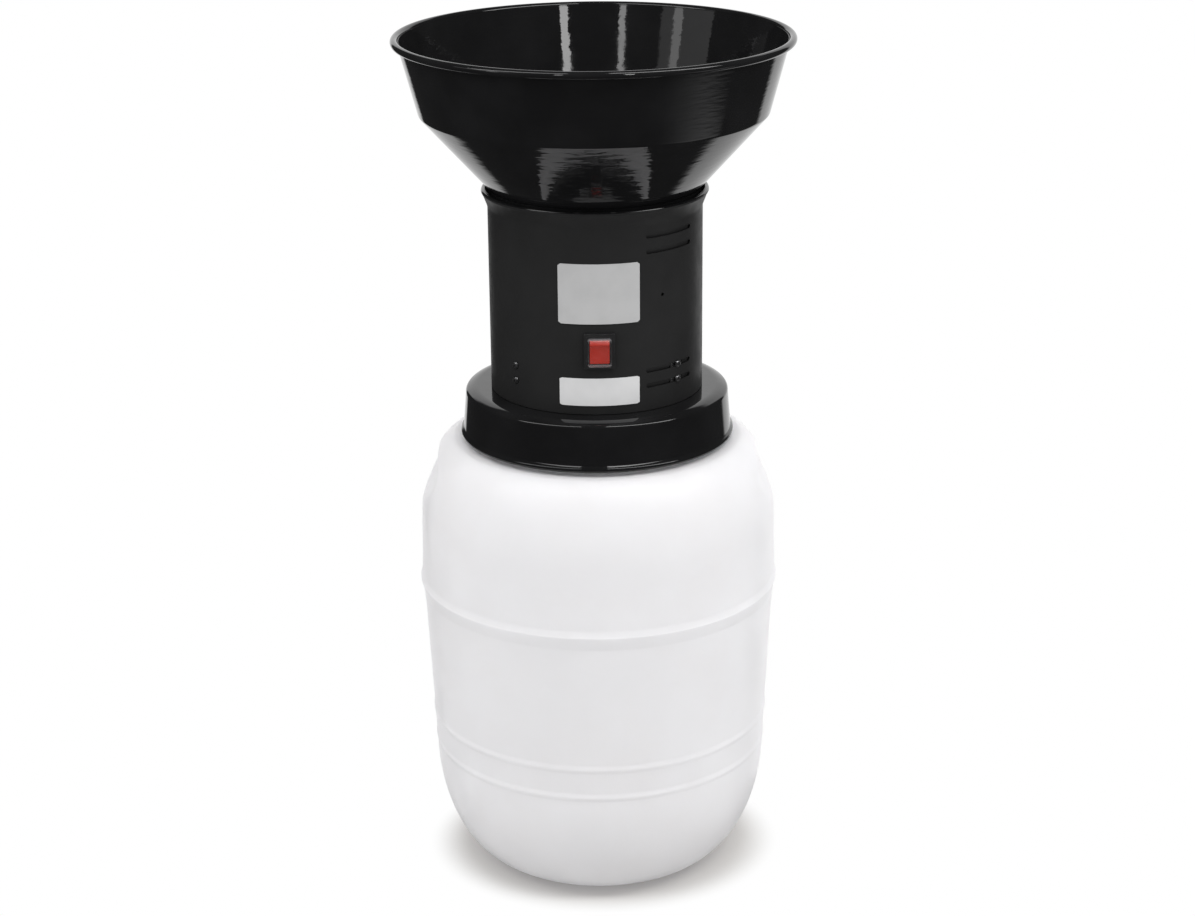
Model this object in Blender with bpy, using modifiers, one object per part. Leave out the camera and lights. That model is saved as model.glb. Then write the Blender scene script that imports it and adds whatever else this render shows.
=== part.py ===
"""Electric grain mill standing on a plastic storage drum.

A sheet-metal head sits over the neck of the drum. Its hopper takes the grain, a gate in the hopper
floor lets it down a duct behind the motor, and a blade on the motor's shaft beats it through a
perforated ring that hangs inside the drum's neck. Units are metres, +Z is up, the floor is z = 0,
the axis of the drum is the Z axis and the front, with the switch, faces -Y.
"""

import math

import bmesh
import bpy
from mathutils import Matrix

# Shared clearances and facet counts
GAP = 0.0003
OVERRUN = 0.002
MERGE = 0.00001
RUNNING_GAP = 0.0004
ROUND_STEPS = 36
MIDDLE_STEPS = 18
SMALL_STEPS = 12
SCREW_STEPS = 8
SHARP_ANGLE = math.radians(32)

# Storage drum
DRUM_WALL = 0.003
DRUM_FOOT_RADIUS = 0.110
DRUM_FOOT_WIDTH = 0.014
DRUM_FOOT_RISE = 0.005
DRUM_BELLY_RADIUS = 0.1795
DRUM_BELLY_HEIGHT = 0.133
DRUM_STEP_RADIUS = 0.192
DRUM_STEP_HEIGHT = 0.321
DRUM_STEP_DEPTH = 0.0038
DRUM_STEP_DROP = 0.008
DRUM_SHOULDER_RADIUS = 0.1883
DRUM_SHOULDER_HEIGHT = 0.398
DRUM_CROWN_RADIUS = 0.150
DRUM_CROWN_HEIGHT = 0.479
DRUM_SHOULDER_ROUNDNESS = 1.80
DRUM_BOTTOM_ROUNDNESS = 1.93
DRUM_SHOULDER_POINTS = 5
DRUM_BOTTOM_POINTS = 6
DRUM_INSIDE_POINTS = 5
DRUM_RIDGES = 2
DRUM_RIDGE_PITCH = 0.033
DRUM_RIDGE_RISE = 0.0012
DRUM_RIDGE_HALF_WIDTH = 0.004
NECK_RADIUS = 0.1325
NECK_ROOT = 0.004

# Hand grips pressed into two sides of the drum's shoulder
GRIP_FLAT_X = 0.1688
GRIP_SEAT_HEIGHT = 0.443
GRIP_SLOPE_RUN = 0.0187
GRIP_SLOPE_DROP = 0.033
GRIP_LENGTH = 0.150

# Lid
LID_SHEET = 0.0015
LID_TOP_HEIGHT = 0.535
LID_TOP_RADIUS = 0.138
LID_CORNER = 0.004
LID_SKIRT_RADIUS = 0.1412
LID_BEAD_HEIGHT = 0.4864
LID_BEAD_RADIUS = 0.003
LID_SHAFT_HOLE = 0.0086

# Motor housing
HOUSING_SHEET = 0.0012
HOUSING_RADIUS = 0.111
HOUSING_FLARE_HEIGHT = 0.730
HOUSING_LIP_HEIGHT = 0.7445
HOUSING_LIP_RADIUS = 0.1145
HOUSING_BEAD_RADIUS = 0.0027
PANEL_TURN = math.radians(1.6)
VENT_TURN = math.radians(43.3)
VENT_SPAN = math.radians(32.6)
VENT_WIDTH = 0.0042
VENT_PITCH = 0.0160
UPPER_VENT_HEIGHT = 0.7178
LOWER_VENT_HEIGHT = 0.5777
RIVET_HOLE_TURN = math.radians(37.2)
RIVET_HOLE_HEIGHT = 0.655
RIVET_HOLE_RADIUS = 0.0018

# Hopper
HOPPER_SHEET = 0.0015
HOPPER_RIM_HEIGHT = 0.899
HOPPER_RIM_OVERHANG = 0.0032
HOPPER_BEAD_RADIUS = 0.004
HOPPER_BEAD_END = math.radians(-135)
HOPPER_BAND_RADIUS = 0.1978
HOPPER_CREASE_RUN_SHARE = 0.789
HOPPER_CREASE_RISE_SHARE = 0.526
HOPPER_CREASE_ROUND_SHARE = 0.055
HOPPER_THROAT_RADIUS = 0.1095
HOPPER_THROAT_HEIGHT = 0.745
HOPPER_SPIGOT_LENGTH = 0.0235

# Hopper floor, feed gate and feed duct
FLOOR_SHEET = 0.002
FLOOR_UNDERSIDE = 0.743
FEED_INNER_RADIUS = 0.070
FEED_OUTER_RADIUS = 0.100
FEED_HALF_ANGLE = math.radians(25)
FEED_ARC_POINTS = 9
DUCT_WALL = 0.0015
GATE_SHEET = 0.002
GATE_OVERLAP = 0.004
GATE_HALF_ANGLE = math.radians(29)
GATE_HUB_RADIUS = 0.016
GATE_PIVOT_RADIUS = 0.003
GATE_PIVOT_HEAD_RADIUS = 0.006
GATE_PIVOT_HEAD_HEIGHT = 0.003
GATE_NUT_RADIUS = 0.0075
GATE_NUT_HEIGHT = 0.006
KNOB_RADIUS = 0.009
KNOB_HEIGHT = 0.014
KNOB_WAIST = 0.006
KNOB_CENTRE_RADIUS = 0.056

# Motor
MOTOR_RADIUS = 0.060
MOTOR_SHELL_WALL = 0.003
MOTOR_SHELL_LENGTH = 0.120
SHIELD_PLATE = 0.008
SHIELD_BOSS_RADIUS = 0.024
SHIELD_BOSS_HEIGHT = 0.015
BEARING_RADIUS = 0.0175
BEARING_WIDTH = 0.011
STATOR_BORE = 0.035
STATOR_LENGTH = 0.062
AIR_GAP = 0.0005
ROTOR_END_RING = 0.003
WINDING_OUTER = 0.052
WINDING_INNER = 0.038
WINDING_HEIGHT = 0.014
SHAFT_RADIUS = 0.0070
SHAFT_COLLAR_RADIUS = 0.011
SHAFT_OVERHANG = 0.003
SHAFT_END_RADIUS = 0.005
FAN_RADIUS = 0.052
FAN_HUB_RADIUS = 0.013
FAN_PLATE = 0.002
FAN_BLADE_HEIGHT = 0.014
FAN_BLADE_SHEET = 0.0018
FAN_BLADES = 7
FAN_RISE = 0.004
MOTOR_BOLTS = 3
MOTOR_BOLT_TURN = math.radians(23)
MOTOR_BOLT_CIRCLE = 0.044
MOTOR_BOLT_RADIUS = 0.0024
MOTOR_BOLT_HEAD_RADIUS = 0.0045
MOTOR_BOLT_HEAD_HEIGHT = 0.003
MOTOR_BOLT_REACH = 0.006
CAPACITOR_RADIUS = 0.019
CAPACITOR_HEIGHT = 0.085
CAPACITOR_X = -0.0848
CAPACITOR_CROWN = 0.003
CLIP_SHEET = 0.0015
CLIP_WIDTH = 0.012
CLIP_HEIGHT = 0.590

# Brackets that hold the housing on the lid
BRACKET_TURNS = tuple(math.radians(turn) for turn in (-48, 48, 132, 228))
BRACKET_SHEET = 0.002
BRACKET_WIDTH = 0.016
BRACKET_LEG = 0.050
BRACKET_FOOT = 0.014
BRACKET_SCREW_RADIUS = 0.00175
BRACKET_SCREW_HEAD_RADIUS = 0.0038
BRACKET_SCREW_HEAD_HEIGHT = 0.0022
BRACKET_SCREW_REACH = 0.007
SCREW_CLEARANCE = 0.0003

# Screws that hold the hopper's spigot in the housing
HOPPER_SCREW_TURNS = tuple(math.radians(turn) for turn in (105, 180, 255))
HOPPER_SCREW_HEIGHT = 0.7256
HOPPER_SCREW_REACH = 0.006

# Grinding chamber under the lid
SIEVE_RADIUS = 0.107
SIEVE_SHEET = 0.0012
SIEVE_HEIGHT = 0.045
SIEVE_HOLE_RADIUS = 0.004
SIEVE_ROWS = 2
SIEVE_COLUMNS = 16
SIEVE_MARGIN = 0.013
CHAMBER_FLOOR_SHEET = 0.0018
CHAMBER_LIP_SHEET = 0.002
CHAMBER_LIP_HEIGHT = 0.004
STUD_TURNS = tuple(math.radians(turn) for turn in (45, 165, 285))
STUD_CIRCLE = 0.1148
STUD_RADIUS = 0.0025
STUD_TAIL = 0.018
EAR_RADIUS = 0.007
WING_NUT_RADIUS = 0.0055
WING_NUT_HEIGHT = 0.006
WING_LENGTH = 0.011
WING_SHEET = 0.002
WING_ROOT_TOP = 0.002
WING_ROOT_FOOT = 0.0056
WING_TIP_TOP = 0.006
WING_TIP_FOOT = 0.010
BLADE_HALF_LENGTH = 0.099
BLADE_WIDTH = 0.030
BLADE_SHEET = 0.003
BLADE_BEND = 0.062
BLADE_TIP_RISE = 0.006
BLADE_EDGE = 0.007
BLADE_HEIGHT = 0.4975
WASHER_RADIUS = 0.013
WASHER_HEIGHT = 0.002
BLADE_NUT_RADIUS = 0.0092
BLADE_NUT_HEIGHT = 0.0045
SEAL_RADIUS = 0.016
SEAL_HEIGHT = 0.005

# Switch and plates on the front
SWITCH_HEIGHT = 0.603
BEZEL_WIDTH = 0.0315
BEZEL_HEIGHT = 0.0366
BEZEL_STAND = 0.0026
BEZEL_ROUND = 0.0012
SWITCH_BODY_WIDTH = 0.0270
SWITCH_BODY_HEIGHT = 0.0320
SWITCH_BODY_DEPTH = 0.022
SWITCH_PANEL_GAP = 0.0004
SWITCH_WELL_WIDTH = 0.0210
SWITCH_WELL_HEIGHT = 0.0266
SWITCH_WELL_DEPTH = 0.013
ROCKER_WIDTH = 0.0196
ROCKER_HEIGHT = 0.0240
ROCKER_REACH = 0.0067
ROCKER_DISH = 0.0017
ROCKER_HEEL_HEIGHT = 0.012
ROCKER_HEEL = 0.004
ROCKER_TILT = math.radians(8)
ROCKER_PIVOT_DEPTH = 0.0045
ROCKER_PIN_RADIUS = 0.0012
ROCKER_PIN_REACH = 0.0017
BOOT_WIDTH = 0.0246
BOOT_HEIGHT = 0.0288
BOOT_STAND = 0.0078
BOOT_WALL = 0.0008
BOOT_ROUND = 0.0022
PLATE_SHEET = 0.0005
PLATE_ARC_POINTS = 9
RATING_PLATE_WIDTH = 0.084
RATING_PLATE_FOOT = 0.631
RATING_PLATE_HEIGHT = 0.062
LOWER_PLATE_WIDTH = 0.083
LOWER_PLATE_FOOT = 0.545
LOWER_PLATE_HEIGHT = 0.029

# Cable gland at the back
GLAND_TURN = math.radians(140)
GLAND_HEIGHT = 0.612
GLAND_BORE = 0.004
GLAND_THREAD_RADIUS = 0.0075
GLAND_HEX_RADIUS = 0.0115
GLAND_HEX_LENGTH = 0.005
GLAND_CAP_RADIUS = 0.0095
GLAND_CAP_LENGTH = 0.012
GLAND_INSIDE_LENGTH = 0.009
GLAND_NUT_RADIUS = 0.011
GLAND_NUT_LENGTH = 0.004

# Places that follow from the sizes above
NECK_TOP = LID_TOP_HEIGHT - LID_SHEET - GAP
LID_UNDERSIDE = LID_TOP_HEIGHT - LID_SHEET
ON_LID = LID_TOP_HEIGHT + GAP
SHELL_FOOT = ON_LID + SHIELD_PLATE + GAP
SHELL_TOP = SHELL_FOOT + MOTOR_SHELL_LENGTH
STATOR_FOOT = (SHELL_FOOT + SHELL_TOP - STATOR_LENGTH) / 2
STATOR_RADIUS = MOTOR_RADIUS - MOTOR_SHELL_WALL - GAP
UPPER_SHIELD_TOP = SHELL_TOP + GAP + SHIELD_PLATE
FAN_FOOT = UPPER_SHIELD_TOP + FAN_RISE
FLOOR_TOP = FLOOR_UNDERSIDE + FLOOR_SHEET
GATE_FOOT = FLOOR_TOP + GAP
GATE_TOP = GATE_FOOT + GATE_SHEET
SIEVE_TOP = LID_UNDERSIDE - GAP
SIEVE_FOOT = SIEVE_TOP - SIEVE_HEIGHT
CHAMBER_FLOOR_TOP = SIEVE_FOOT - GAP
CHAMBER_FLOOR_FOOT = CHAMBER_FLOOR_TOP - CHAMBER_FLOOR_SHEET
BLADE_TOP = BLADE_HEIGHT + BLADE_SHEET
HOUSING_BORE = HOUSING_RADIUS - HOUSING_SHEET
HOUSING_FLAT = HOUSING_BORE * math.cos(math.pi / ROUND_STEPS)
BEZEL_FACE = HOUSING_RADIUS + GAP + BEZEL_STAND
ROCKER_PIVOT_RADIUS = BEZEL_FACE - ROCKER_PIVOT_DEPTH

COLOURS = {
    "drum_plastic": ((0.86, 0.87, 0.88, 1), 0.45, 0.0),
    "black_enamel": ((0.008, 0.008, 0.008, 1), 0.12, 0.0),
    "black_satin": ((0.022, 0.022, 0.022, 1), 0.45, 0.0),
    "black_plastic": ((0.015, 0.015, 0.016, 1), 0.4, 0.0),
    "red_plastic": ((0.45, 0.025, 0.012, 1), 0.25, 0.0),
    "clear_boot": ((0.75, 0.76, 0.77, 1), 0.15, 0.0),
    "plate_silver": ((0.55, 0.55, 0.55, 1), 0.35, 0.0),
    "plate_white": ((0.85, 0.85, 0.85, 1), 0.4, 0.0),
    "steel": ((0.55, 0.56, 0.57, 1), 0.3, 1.0),
    "aluminium": ((0.62, 0.63, 0.64, 1), 0.45, 1.0),
    "lamination": ((0.22, 0.23, 0.25, 1), 0.5, 1.0),
    "copper": ((0.72, 0.30, 0.14, 1), 0.35, 1.0),
    "rubber": ((0.02, 0.02, 0.02, 1), 0.8, 0.0),
    "grey_plastic": ((0.30, 0.31, 0.32, 1), 0.5, 0.0),
}


def clear_scene():
    for obj in list(bpy.data.objects):
        bpy.data.objects.remove(obj)


def new_collection(name):
    collection = bpy.data.collections.new(name)
    bpy.context.scene.collection.children.link(collection)
    return collection


clear_scene()
PARTS = new_collection("electric_grain_mill")
CUTTERS = new_collection("cutters")
CUTTERS.hide_render = True


def get_material(name):
    if name in bpy.data.materials:
        return bpy.data.materials[name]
    colour, roughness, metallic = COLOURS[name]
    material = bpy.data.materials.new(name)
    material.use_nodes = True
    shader = material.node_tree.nodes["Principled BSDF"]
    shader.inputs["Base Color"].default_value = colour
    shader.inputs["Roughness"].default_value = roughness
    shader.inputs["Metallic"].default_value = metallic
    material.diffuse_color = colour
    return material


def add_object(name, mesh, material):
    """Link a mesh as a part, or as a cutter where it has no material."""
    obj = bpy.data.objects.new(name, mesh)
    if material:
        mesh.materials.clear()
        mesh.materials.append(get_material(material))
        PARTS.objects.link(obj)
    else:
        CUTTERS.objects.link(obj)
        obj.hide_render = True
        obj.display_type = "WIRE"
    return obj


def evaluated_mesh(obj):
    bpy.context.view_layer.update()
    graph = bpy.context.evaluated_depsgraph_get()
    return bpy.data.meshes.new_from_object(obj.evaluated_get(graph))


def lathe(name, outline, material=None, steps=ROUND_STEPS):
    """Turn an outline of (radius, height) about Z. It runs down the outer side and up the inner one."""
    count = len(outline)
    solid = outline[0][0] == 0 and outline[-1][0] == 0
    edges = [(i, i + 1) for i in range(count - 1)]
    if not solid:
        edges.append((count - 1, 0))
    profile = bpy.data.meshes.new(name + "_profile")
    profile.from_pydata([(radius, 0, height) for radius, height in outline], edges, [])
    obj = add_object(name, profile, material)
    screw = obj.modifiers.new("turn", "SCREW")
    screw.axis = "Z"
    screw.steps = steps
    screw.render_steps = steps
    screw.use_merge_vertices = True
    screw.merge_threshold = MERGE
    mesh = evaluated_mesh(obj)
    obj.modifiers.clear()
    obj.data = mesh
    bpy.data.meshes.remove(profile)
    mesh.shade_smooth()
    mesh.set_sharp_from_angle(angle=SHARP_ANGLE)
    return obj


def extrude(name, outline, height, material=None):
    """Raise a flat outline of (x, y) from z = 0 to a height."""
    mesh = bpy.data.meshes.new(name)
    form = bmesh.new()
    face = form.faces.new([form.verts.new((x, y, 0)) for x, y in outline])
    raised = bmesh.ops.extrude_face_region(form, geom=[face])["geom"]
    top = [item for item in raised if isinstance(item, bmesh.types.BMVert)]
    bmesh.ops.translate(form, vec=(0, 0, height), verts=top)
    bmesh.ops.recalc_face_normals(form, faces=form.faces)
    form.to_mesh(mesh)
    form.free()
    return add_object(name, mesh, material)


def box(name, size, centre, material=None):
    mesh = bpy.data.meshes.new(name)
    form = bmesh.new()
    scale = Matrix.Diagonal((*size, 1))
    bmesh.ops.create_cube(form, size=1, matrix=Matrix.Translation(centre) @ scale)
    form.to_mesh(mesh)
    form.free()
    return add_object(name, mesh, material)


def cut(target, cutter):
    modifier = target.modifiers.new("cut", "BOOLEAN")
    modifier.operation = "DIFFERENCE"
    modifier.object = cutter


def join(target, other):
    modifier = target.modifiers.new("join", "BOOLEAN")
    modifier.operation = "UNION"
    modifier.object = other


def bevel(obj, width, segments=2):
    modifier = obj.modifiers.new("round", "BEVEL")
    modifier.width = width
    modifier.segments = segments
    modifier.limit_method = "ANGLE"
    modifier.angle_limit = SHARP_ANGLE


def rod(name, radius, foot, top, material=None, steps=SMALL_STEPS):
    return lathe(name, [(0, top), (radius, top), (radius, foot), (0, foot)], material, steps)


def tube(name, outer, inner, foot, top, material=None, steps=ROUND_STEPS):
    outline = [(inner, top), (outer, top), (outer, foot), (inner, foot)]
    return lathe(name, outline, material, steps)


def hex_nut(name, radius, bore, foot, top, material="steel"):
    nut = rod(name, radius, foot, top, material, 6)
    cut(nut, rod(name + "_bore_cutter", bore, foot - OVERRUN, top + OVERRUN))
    return nut


def arc(radius, start, end, points):
    """Points on a circle about the origin, from one angle to another."""
    turns = [start + (end - start) * i / (points - 1) for i in range(points)]
    return [(radius * math.cos(turn), radius * math.sin(turn)) for turn in turns]


def bead(centre_radius, centre_height, radius, start, end, points):
    """Part of a small circle in the (radius, height) plane of a lathe outline."""
    circle = arc(radius, start, end, points)
    return [(centre_radius + x, centre_height + z) for x, z in circle]


def inset(outline, distance):
    """Copy of a line of (radius, height) points that runs down an outer side, moved in by a distance."""
    normals = []
    for (radius, height), (next_radius, next_height) in zip(outline, outline[1:]):
        across = next_radius - radius
        up = next_height - height
        length = math.hypot(across, up)
        normals.append((up / length, -across / length))
    moved = []
    for point, before, after in zip(outline, normals[:1] + normals, normals + normals[-1:]):
        reach = distance / (1 + before[0] * after[0] + before[1] * after[1])
        moved.append((point[0] + (before[0] + after[0]) * reach, point[1] + (before[1] + after[1]) * reach))
    return moved


def around(turn, radius, height=0):
    """Place on the housing: the turn is counted from the front, towards +X."""
    return (radius * math.sin(turn), -radius * math.cos(turn), height)


def aim_out(obj, turn, radius, height):
    """Set an object made along +Z on the housing, so that its +Z points straight out."""
    obj.location = around(turn, radius, height)
    obj.rotation_euler = (math.pi / 2, 0, turn)


def superellipse(centre, reach, roundness, start, end, points):
    """Quarter of a squarish ellipse about a (radius, height) centre."""
    outline = []
    for i in range(points):
        angle = start + (end - start) * i / (points - 1)
        across = abs(math.cos(angle)) ** (2 / roundness)
        upward = math.copysign(abs(math.sin(angle)) ** (2 / roundness), math.sin(angle))
        outline.append((centre[0] + reach[0] * across, centre[1] + reach[1] * upward))
    return outline


# Storage drum


def drum_side(height, wall):
    """Radius of the tapered side between the belly and the step."""
    top = DRUM_STEP_HEIGHT - DRUM_STEP_DROP
    share = (height - DRUM_BELLY_HEIGHT) / (top - DRUM_BELLY_HEIGHT)
    upper = DRUM_STEP_RADIUS - DRUM_STEP_DEPTH
    return DRUM_BELLY_RADIUS + (upper - DRUM_BELLY_RADIUS) * share - wall


def drum_outline(wall, points):
    """Outline from the neck's foot down to the foot circle, drawn in by a wall."""
    shoulder_centre = (DRUM_CROWN_RADIUS, DRUM_SHOULDER_HEIGHT)
    shoulder_reach = (
        DRUM_SHOULDER_RADIUS - DRUM_CROWN_RADIUS - wall,
        DRUM_CROWN_HEIGHT - DRUM_SHOULDER_HEIGHT - wall,
    )
    neck = NECK_RADIUS - wall
    crown = DRUM_CROWN_HEIGHT - wall
    outline = [(neck, crown + NECK_ROOT), (neck + NECK_ROOT, crown)]
    outline += superellipse(
        shoulder_centre, shoulder_reach, DRUM_SHOULDER_ROUNDNESS, math.pi / 2, 0, points
    )
    half_drop = DRUM_STEP_DROP / 2
    outline.append((DRUM_STEP_RADIUS - wall, DRUM_STEP_HEIGHT))
    outline.append((DRUM_STEP_RADIUS - DRUM_STEP_DEPTH / 2 - wall, DRUM_STEP_HEIGHT - half_drop))
    outline.append((drum_side(DRUM_STEP_HEIGHT - DRUM_STEP_DROP, wall), DRUM_STEP_HEIGHT - DRUM_STEP_DROP))
    return outline


def drum_bottom(wall, foot_height, points):
    centre = (DRUM_FOOT_RADIUS, DRUM_BELLY_HEIGHT)
    reach = (DRUM_BELLY_RADIUS - DRUM_FOOT_RADIUS - wall, DRUM_BELLY_HEIGHT - foot_height)
    return superellipse(centre, reach, DRUM_BOTTOM_ROUNDNESS, 0, -math.pi / 2, points)


def drum_ridges():
    """The two low ridges round the belly."""
    outline = []
    for number in reversed(range(DRUM_RIDGES)):
        below = DRUM_BELLY_HEIGHT + DRUM_RIDGE_PITCH * number
        middle = below + DRUM_RIDGE_HALF_WIDTH
        above = middle + DRUM_RIDGE_HALF_WIDTH
        outline.append((drum_side(above, 0), above))
        outline.append((drum_side(middle, -DRUM_RIDGE_RISE), middle))
        outline.append((drum_side(below, 0), below))
    return outline


def grip_cutter(name, inset):
    """Wedge that presses the two hand grips into the shoulder, drawn in by a wall."""
    corner_x = GRIP_FLAT_X - inset
    corner_z = GRIP_SEAT_HEIGHT - inset
    top = DRUM_CROWN_HEIGHT + OVERRUN
    far = DRUM_STEP_RADIUS + GRIP_SLOPE_RUN
    slope_foot = corner_z - (far - corner_x) * GRIP_SLOPE_DROP / GRIP_SLOPE_RUN
    outline = [(corner_x, corner_z), (corner_x, top), (far, top), (far, slope_foot)]
    outline = [(x, z) for x, z in reversed(outline)]
    cutter = extrude(name, outline, GRIP_LENGTH)
    # The outline is drawn in x and y, so it is stood up to lie in x and z.
    cutter.data.transform(Matrix.Rotation(math.pi / 2, 4, "X"))
    cutter.data.transform(Matrix.Translation((0, GRIP_LENGTH / 2, 0)))
    return cutter


def mirrored_copy(cutter, name):
    """The same cutter turned half a turn about the drum's axis."""
    copy = bpy.data.objects.new(name, cutter.data)
    CUTTERS.objects.link(copy)
    copy.hide_render = True
    copy.display_type = "WIRE"
    copy.rotation_euler = (0, 0, math.pi)
    return copy


def build_drum():
    outer = [(0, NECK_TOP), (NECK_RADIUS, NECK_TOP)]
    outer += drum_outline(0, DRUM_SHOULDER_POINTS) + drum_ridges()
    outer += drum_bottom(0, 0, DRUM_BOTTOM_POINTS)[1:]
    inner_foot = DRUM_FOOT_RADIUS - DRUM_FOOT_WIDTH
    outer += [(inner_foot, 0), (inner_foot - DRUM_FOOT_RISE, DRUM_FOOT_RISE), (0, DRUM_FOOT_RISE)]
    drum = lathe("drum", outer, "drum_plastic")

    floor = DRUM_FOOT_RISE + DRUM_WALL
    mouth = NECK_TOP + OVERRUN
    inner = [(0, mouth), (NECK_RADIUS - DRUM_WALL, mouth)]
    inner += drum_outline(DRUM_WALL, DRUM_INSIDE_POINTS)
    inner += drum_bottom(DRUM_WALL, floor, DRUM_INSIDE_POINTS) + [(0, floor)]
    cavity = lathe("drum_cavity", inner)

    grip = grip_cutter("grip_right_cutter", 0)
    dent = grip_cutter("grip_right_dent", DRUM_WALL)
    cut(cavity, dent)
    cut(cavity, mirrored_copy(dent, "grip_left_dent"))
    cut(drum, grip)
    cut(drum, mirrored_copy(grip, "grip_left_cutter"))
    cut(drum, cavity)


# Feed passage shared by the lid, the duct and the hopper floor


def feed_outline(grow):
    """Kidney shape of the passage behind the motor, grown by a wall on every side."""
    inner = FEED_INNER_RADIUS - grow
    outer = FEED_OUTER_RADIUS + grow
    inner_half = FEED_HALF_ANGLE + grow / inner
    outer_half = FEED_HALF_ANGLE + grow / outer
    back = math.pi / 2
    outline = arc(outer, back - outer_half, back + outer_half, FEED_ARC_POINTS)
    outline += arc(inner, back + inner_half, back - inner_half, FEED_ARC_POINTS)
    return outline


def feed_cutter(name, foot, top):
    cutter = extrude(name, feed_outline(0), top - foot)
    cutter.location.z = foot
    return cutter


# Lid


def build_lid():
    sheet = LID_SHEET
    flat_radius = LID_TOP_RADIUS - LID_CORNER
    outline = [(LID_SHAFT_HOLE, LID_TOP_HEIGHT)]
    outline += bead(flat_radius, LID_TOP_HEIGHT - LID_CORNER, LID_CORNER, math.pi / 2, 0, 3)
    outline.append((LID_SKIRT_RADIUS, LID_BEAD_HEIGHT + LID_BEAD_RADIUS))
    outline += bead(LID_SKIRT_RADIUS, LID_BEAD_HEIGHT, LID_BEAD_RADIUS, math.pi / 4, -math.pi / 2, 4)
    inner_skirt = LID_SKIRT_RADIUS - sheet
    outline.append((inner_skirt, LID_BEAD_HEIGHT - LID_BEAD_RADIUS))
    outline.append((inner_skirt, LID_BEAD_HEIGHT + LID_BEAD_RADIUS))
    inner_top = LID_TOP_HEIGHT - LID_CORNER
    outline.append((LID_TOP_RADIUS - sheet, inner_top))
    outline.append((flat_radius, LID_UNDERSIDE))
    outline.append((LID_SHAFT_HOLE, LID_UNDERSIDE))
    lid = lathe("lid", outline, "black_enamel")
    cut(lid, feed_cutter("lid_feed_cutter", LID_UNDERSIDE - OVERRUN, LID_TOP_HEIGHT + OVERRUN))
    for number, turn in enumerate(motor_bolt_turns(), 1):
        hole = rod(
            f"lid_bolt_cutter_{number}",
            MOTOR_BOLT_RADIUS + SCREW_CLEARANCE,
            LID_UNDERSIDE - OVERRUN,
            LID_TOP_HEIGHT + OVERRUN,
            steps=SCREW_STEPS,
        )
        hole.location = around(turn, MOTOR_BOLT_CIRCLE)
        cut(lid, hole)


# Motor housing


def vent_rows(height):
    """Heights of a pair of slots, the upper one first."""
    return [height, height - VENT_PITCH]


def vent_cutter(name, turn, height):
    """Flat bar with round ends that cuts one slot, pointing out from the axis."""
    half_length = HOUSING_RADIUS * math.sin(VENT_SPAN / 2)
    half_height = VENT_WIDTH / 2
    straight = half_length - half_height
    right = arc(half_height, -math.pi / 2, math.pi / 2, 5)
    left = arc(half_height, math.pi / 2, 3 * math.pi / 2, 5)
    outline = [(straight + x, y) for x, y in right] + [(x - straight, y) for x, y in left]
    inner = HOUSING_BORE * math.cos(VENT_SPAN / 2) - OVERRUN
    cutter = extrude(name, outline, HOUSING_RADIUS + OVERRUN - inner)
    aim_out(cutter, turn, inner, height)
    return cutter


def hole_cutter(name, radius, turn, height, steps=SCREW_STEPS):
    """Round cutter through the housing wall."""
    inner = HOUSING_BORE - HOPPER_SHEET - OVERRUN
    cutter = rod(name, radius, 0, HOUSING_RADIUS + OVERRUN - inner, steps=steps)
    aim_out(cutter, turn, inner, height)
    return cutter


def build_housing():
    lip_in = HOUSING_LIP_RADIUS - HOUSING_SHEET
    outline = bead(HOUSING_LIP_RADIUS, HOUSING_LIP_HEIGHT, HOUSING_BEAD_RADIUS, math.pi / 2, -math.pi / 3, 4)
    outline += [(HOUSING_RADIUS, HOUSING_FLARE_HEIGHT), (HOUSING_RADIUS, ON_LID)]
    outline += [(HOUSING_BORE, ON_LID), (HOUSING_BORE, HOUSING_FLARE_HEIGHT)]
    outline += [(lip_in, HOUSING_LIP_HEIGHT), (lip_in, HOUSING_LIP_HEIGHT + HOUSING_BEAD_RADIUS)]
    housing = lathe("housing", outline, "black_satin")

    half_turn = math.pi
    for number, height in enumerate(vent_rows(UPPER_VENT_HEIGHT) + vent_rows(LOWER_VENT_HEIGHT), 1):
        cut(housing, vent_cutter(f"front_vent_cutter_{number}", VENT_TURN, height))
        cut(housing, vent_cutter(f"rear_vent_cutter_{number}", VENT_TURN + half_turn, height))
    hole = BRACKET_SCREW_RADIUS + SCREW_CLEARANCE
    for number, (turn, height) in enumerate(bracket_screw_places(), 1):
        if number in BRACKET_SCREWS_IN_VENTS:
            continue
        cut(housing, hole_cutter(f"bracket_hole_cutter_{number}", hole, turn, height))
    for number, turn in enumerate(HOPPER_SCREW_TURNS, 1):
        cut(housing, hole_cutter(f"hopper_hole_cutter_{number}", hole, turn, HOPPER_SCREW_HEIGHT))
    cut(housing, hole_cutter("rivet_hole_cutter", RIVET_HOLE_RADIUS, RIVET_HOLE_TURN, RIVET_HOLE_HEIGHT))
    gland_hole = GLAND_THREAD_RADIUS + SCREW_CLEARANCE
    cut(housing, hole_cutter("gland_hole_cutter", gland_hole, GLAND_TURN, GLAND_HEIGHT, SMALL_STEPS))
    window = box(
        "switch_window_cutter",
        (
            SWITCH_BODY_WIDTH + 2 * SWITCH_PANEL_GAP,
            SWITCH_BODY_DEPTH,
            SWITCH_BODY_HEIGHT + 2 * SWITCH_PANEL_GAP,
        ),
        (0, -HOUSING_RADIUS, SWITCH_HEIGHT),
    )
    window.rotation_euler.z = PANEL_TURN
    cut(housing, window)


# Brackets and their screws

# Two of the brackets stand behind the vents, so their screws pass through the slots.
BRACKET_SCREWS_IN_VENTS = (3, 4, 7, 8)


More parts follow.
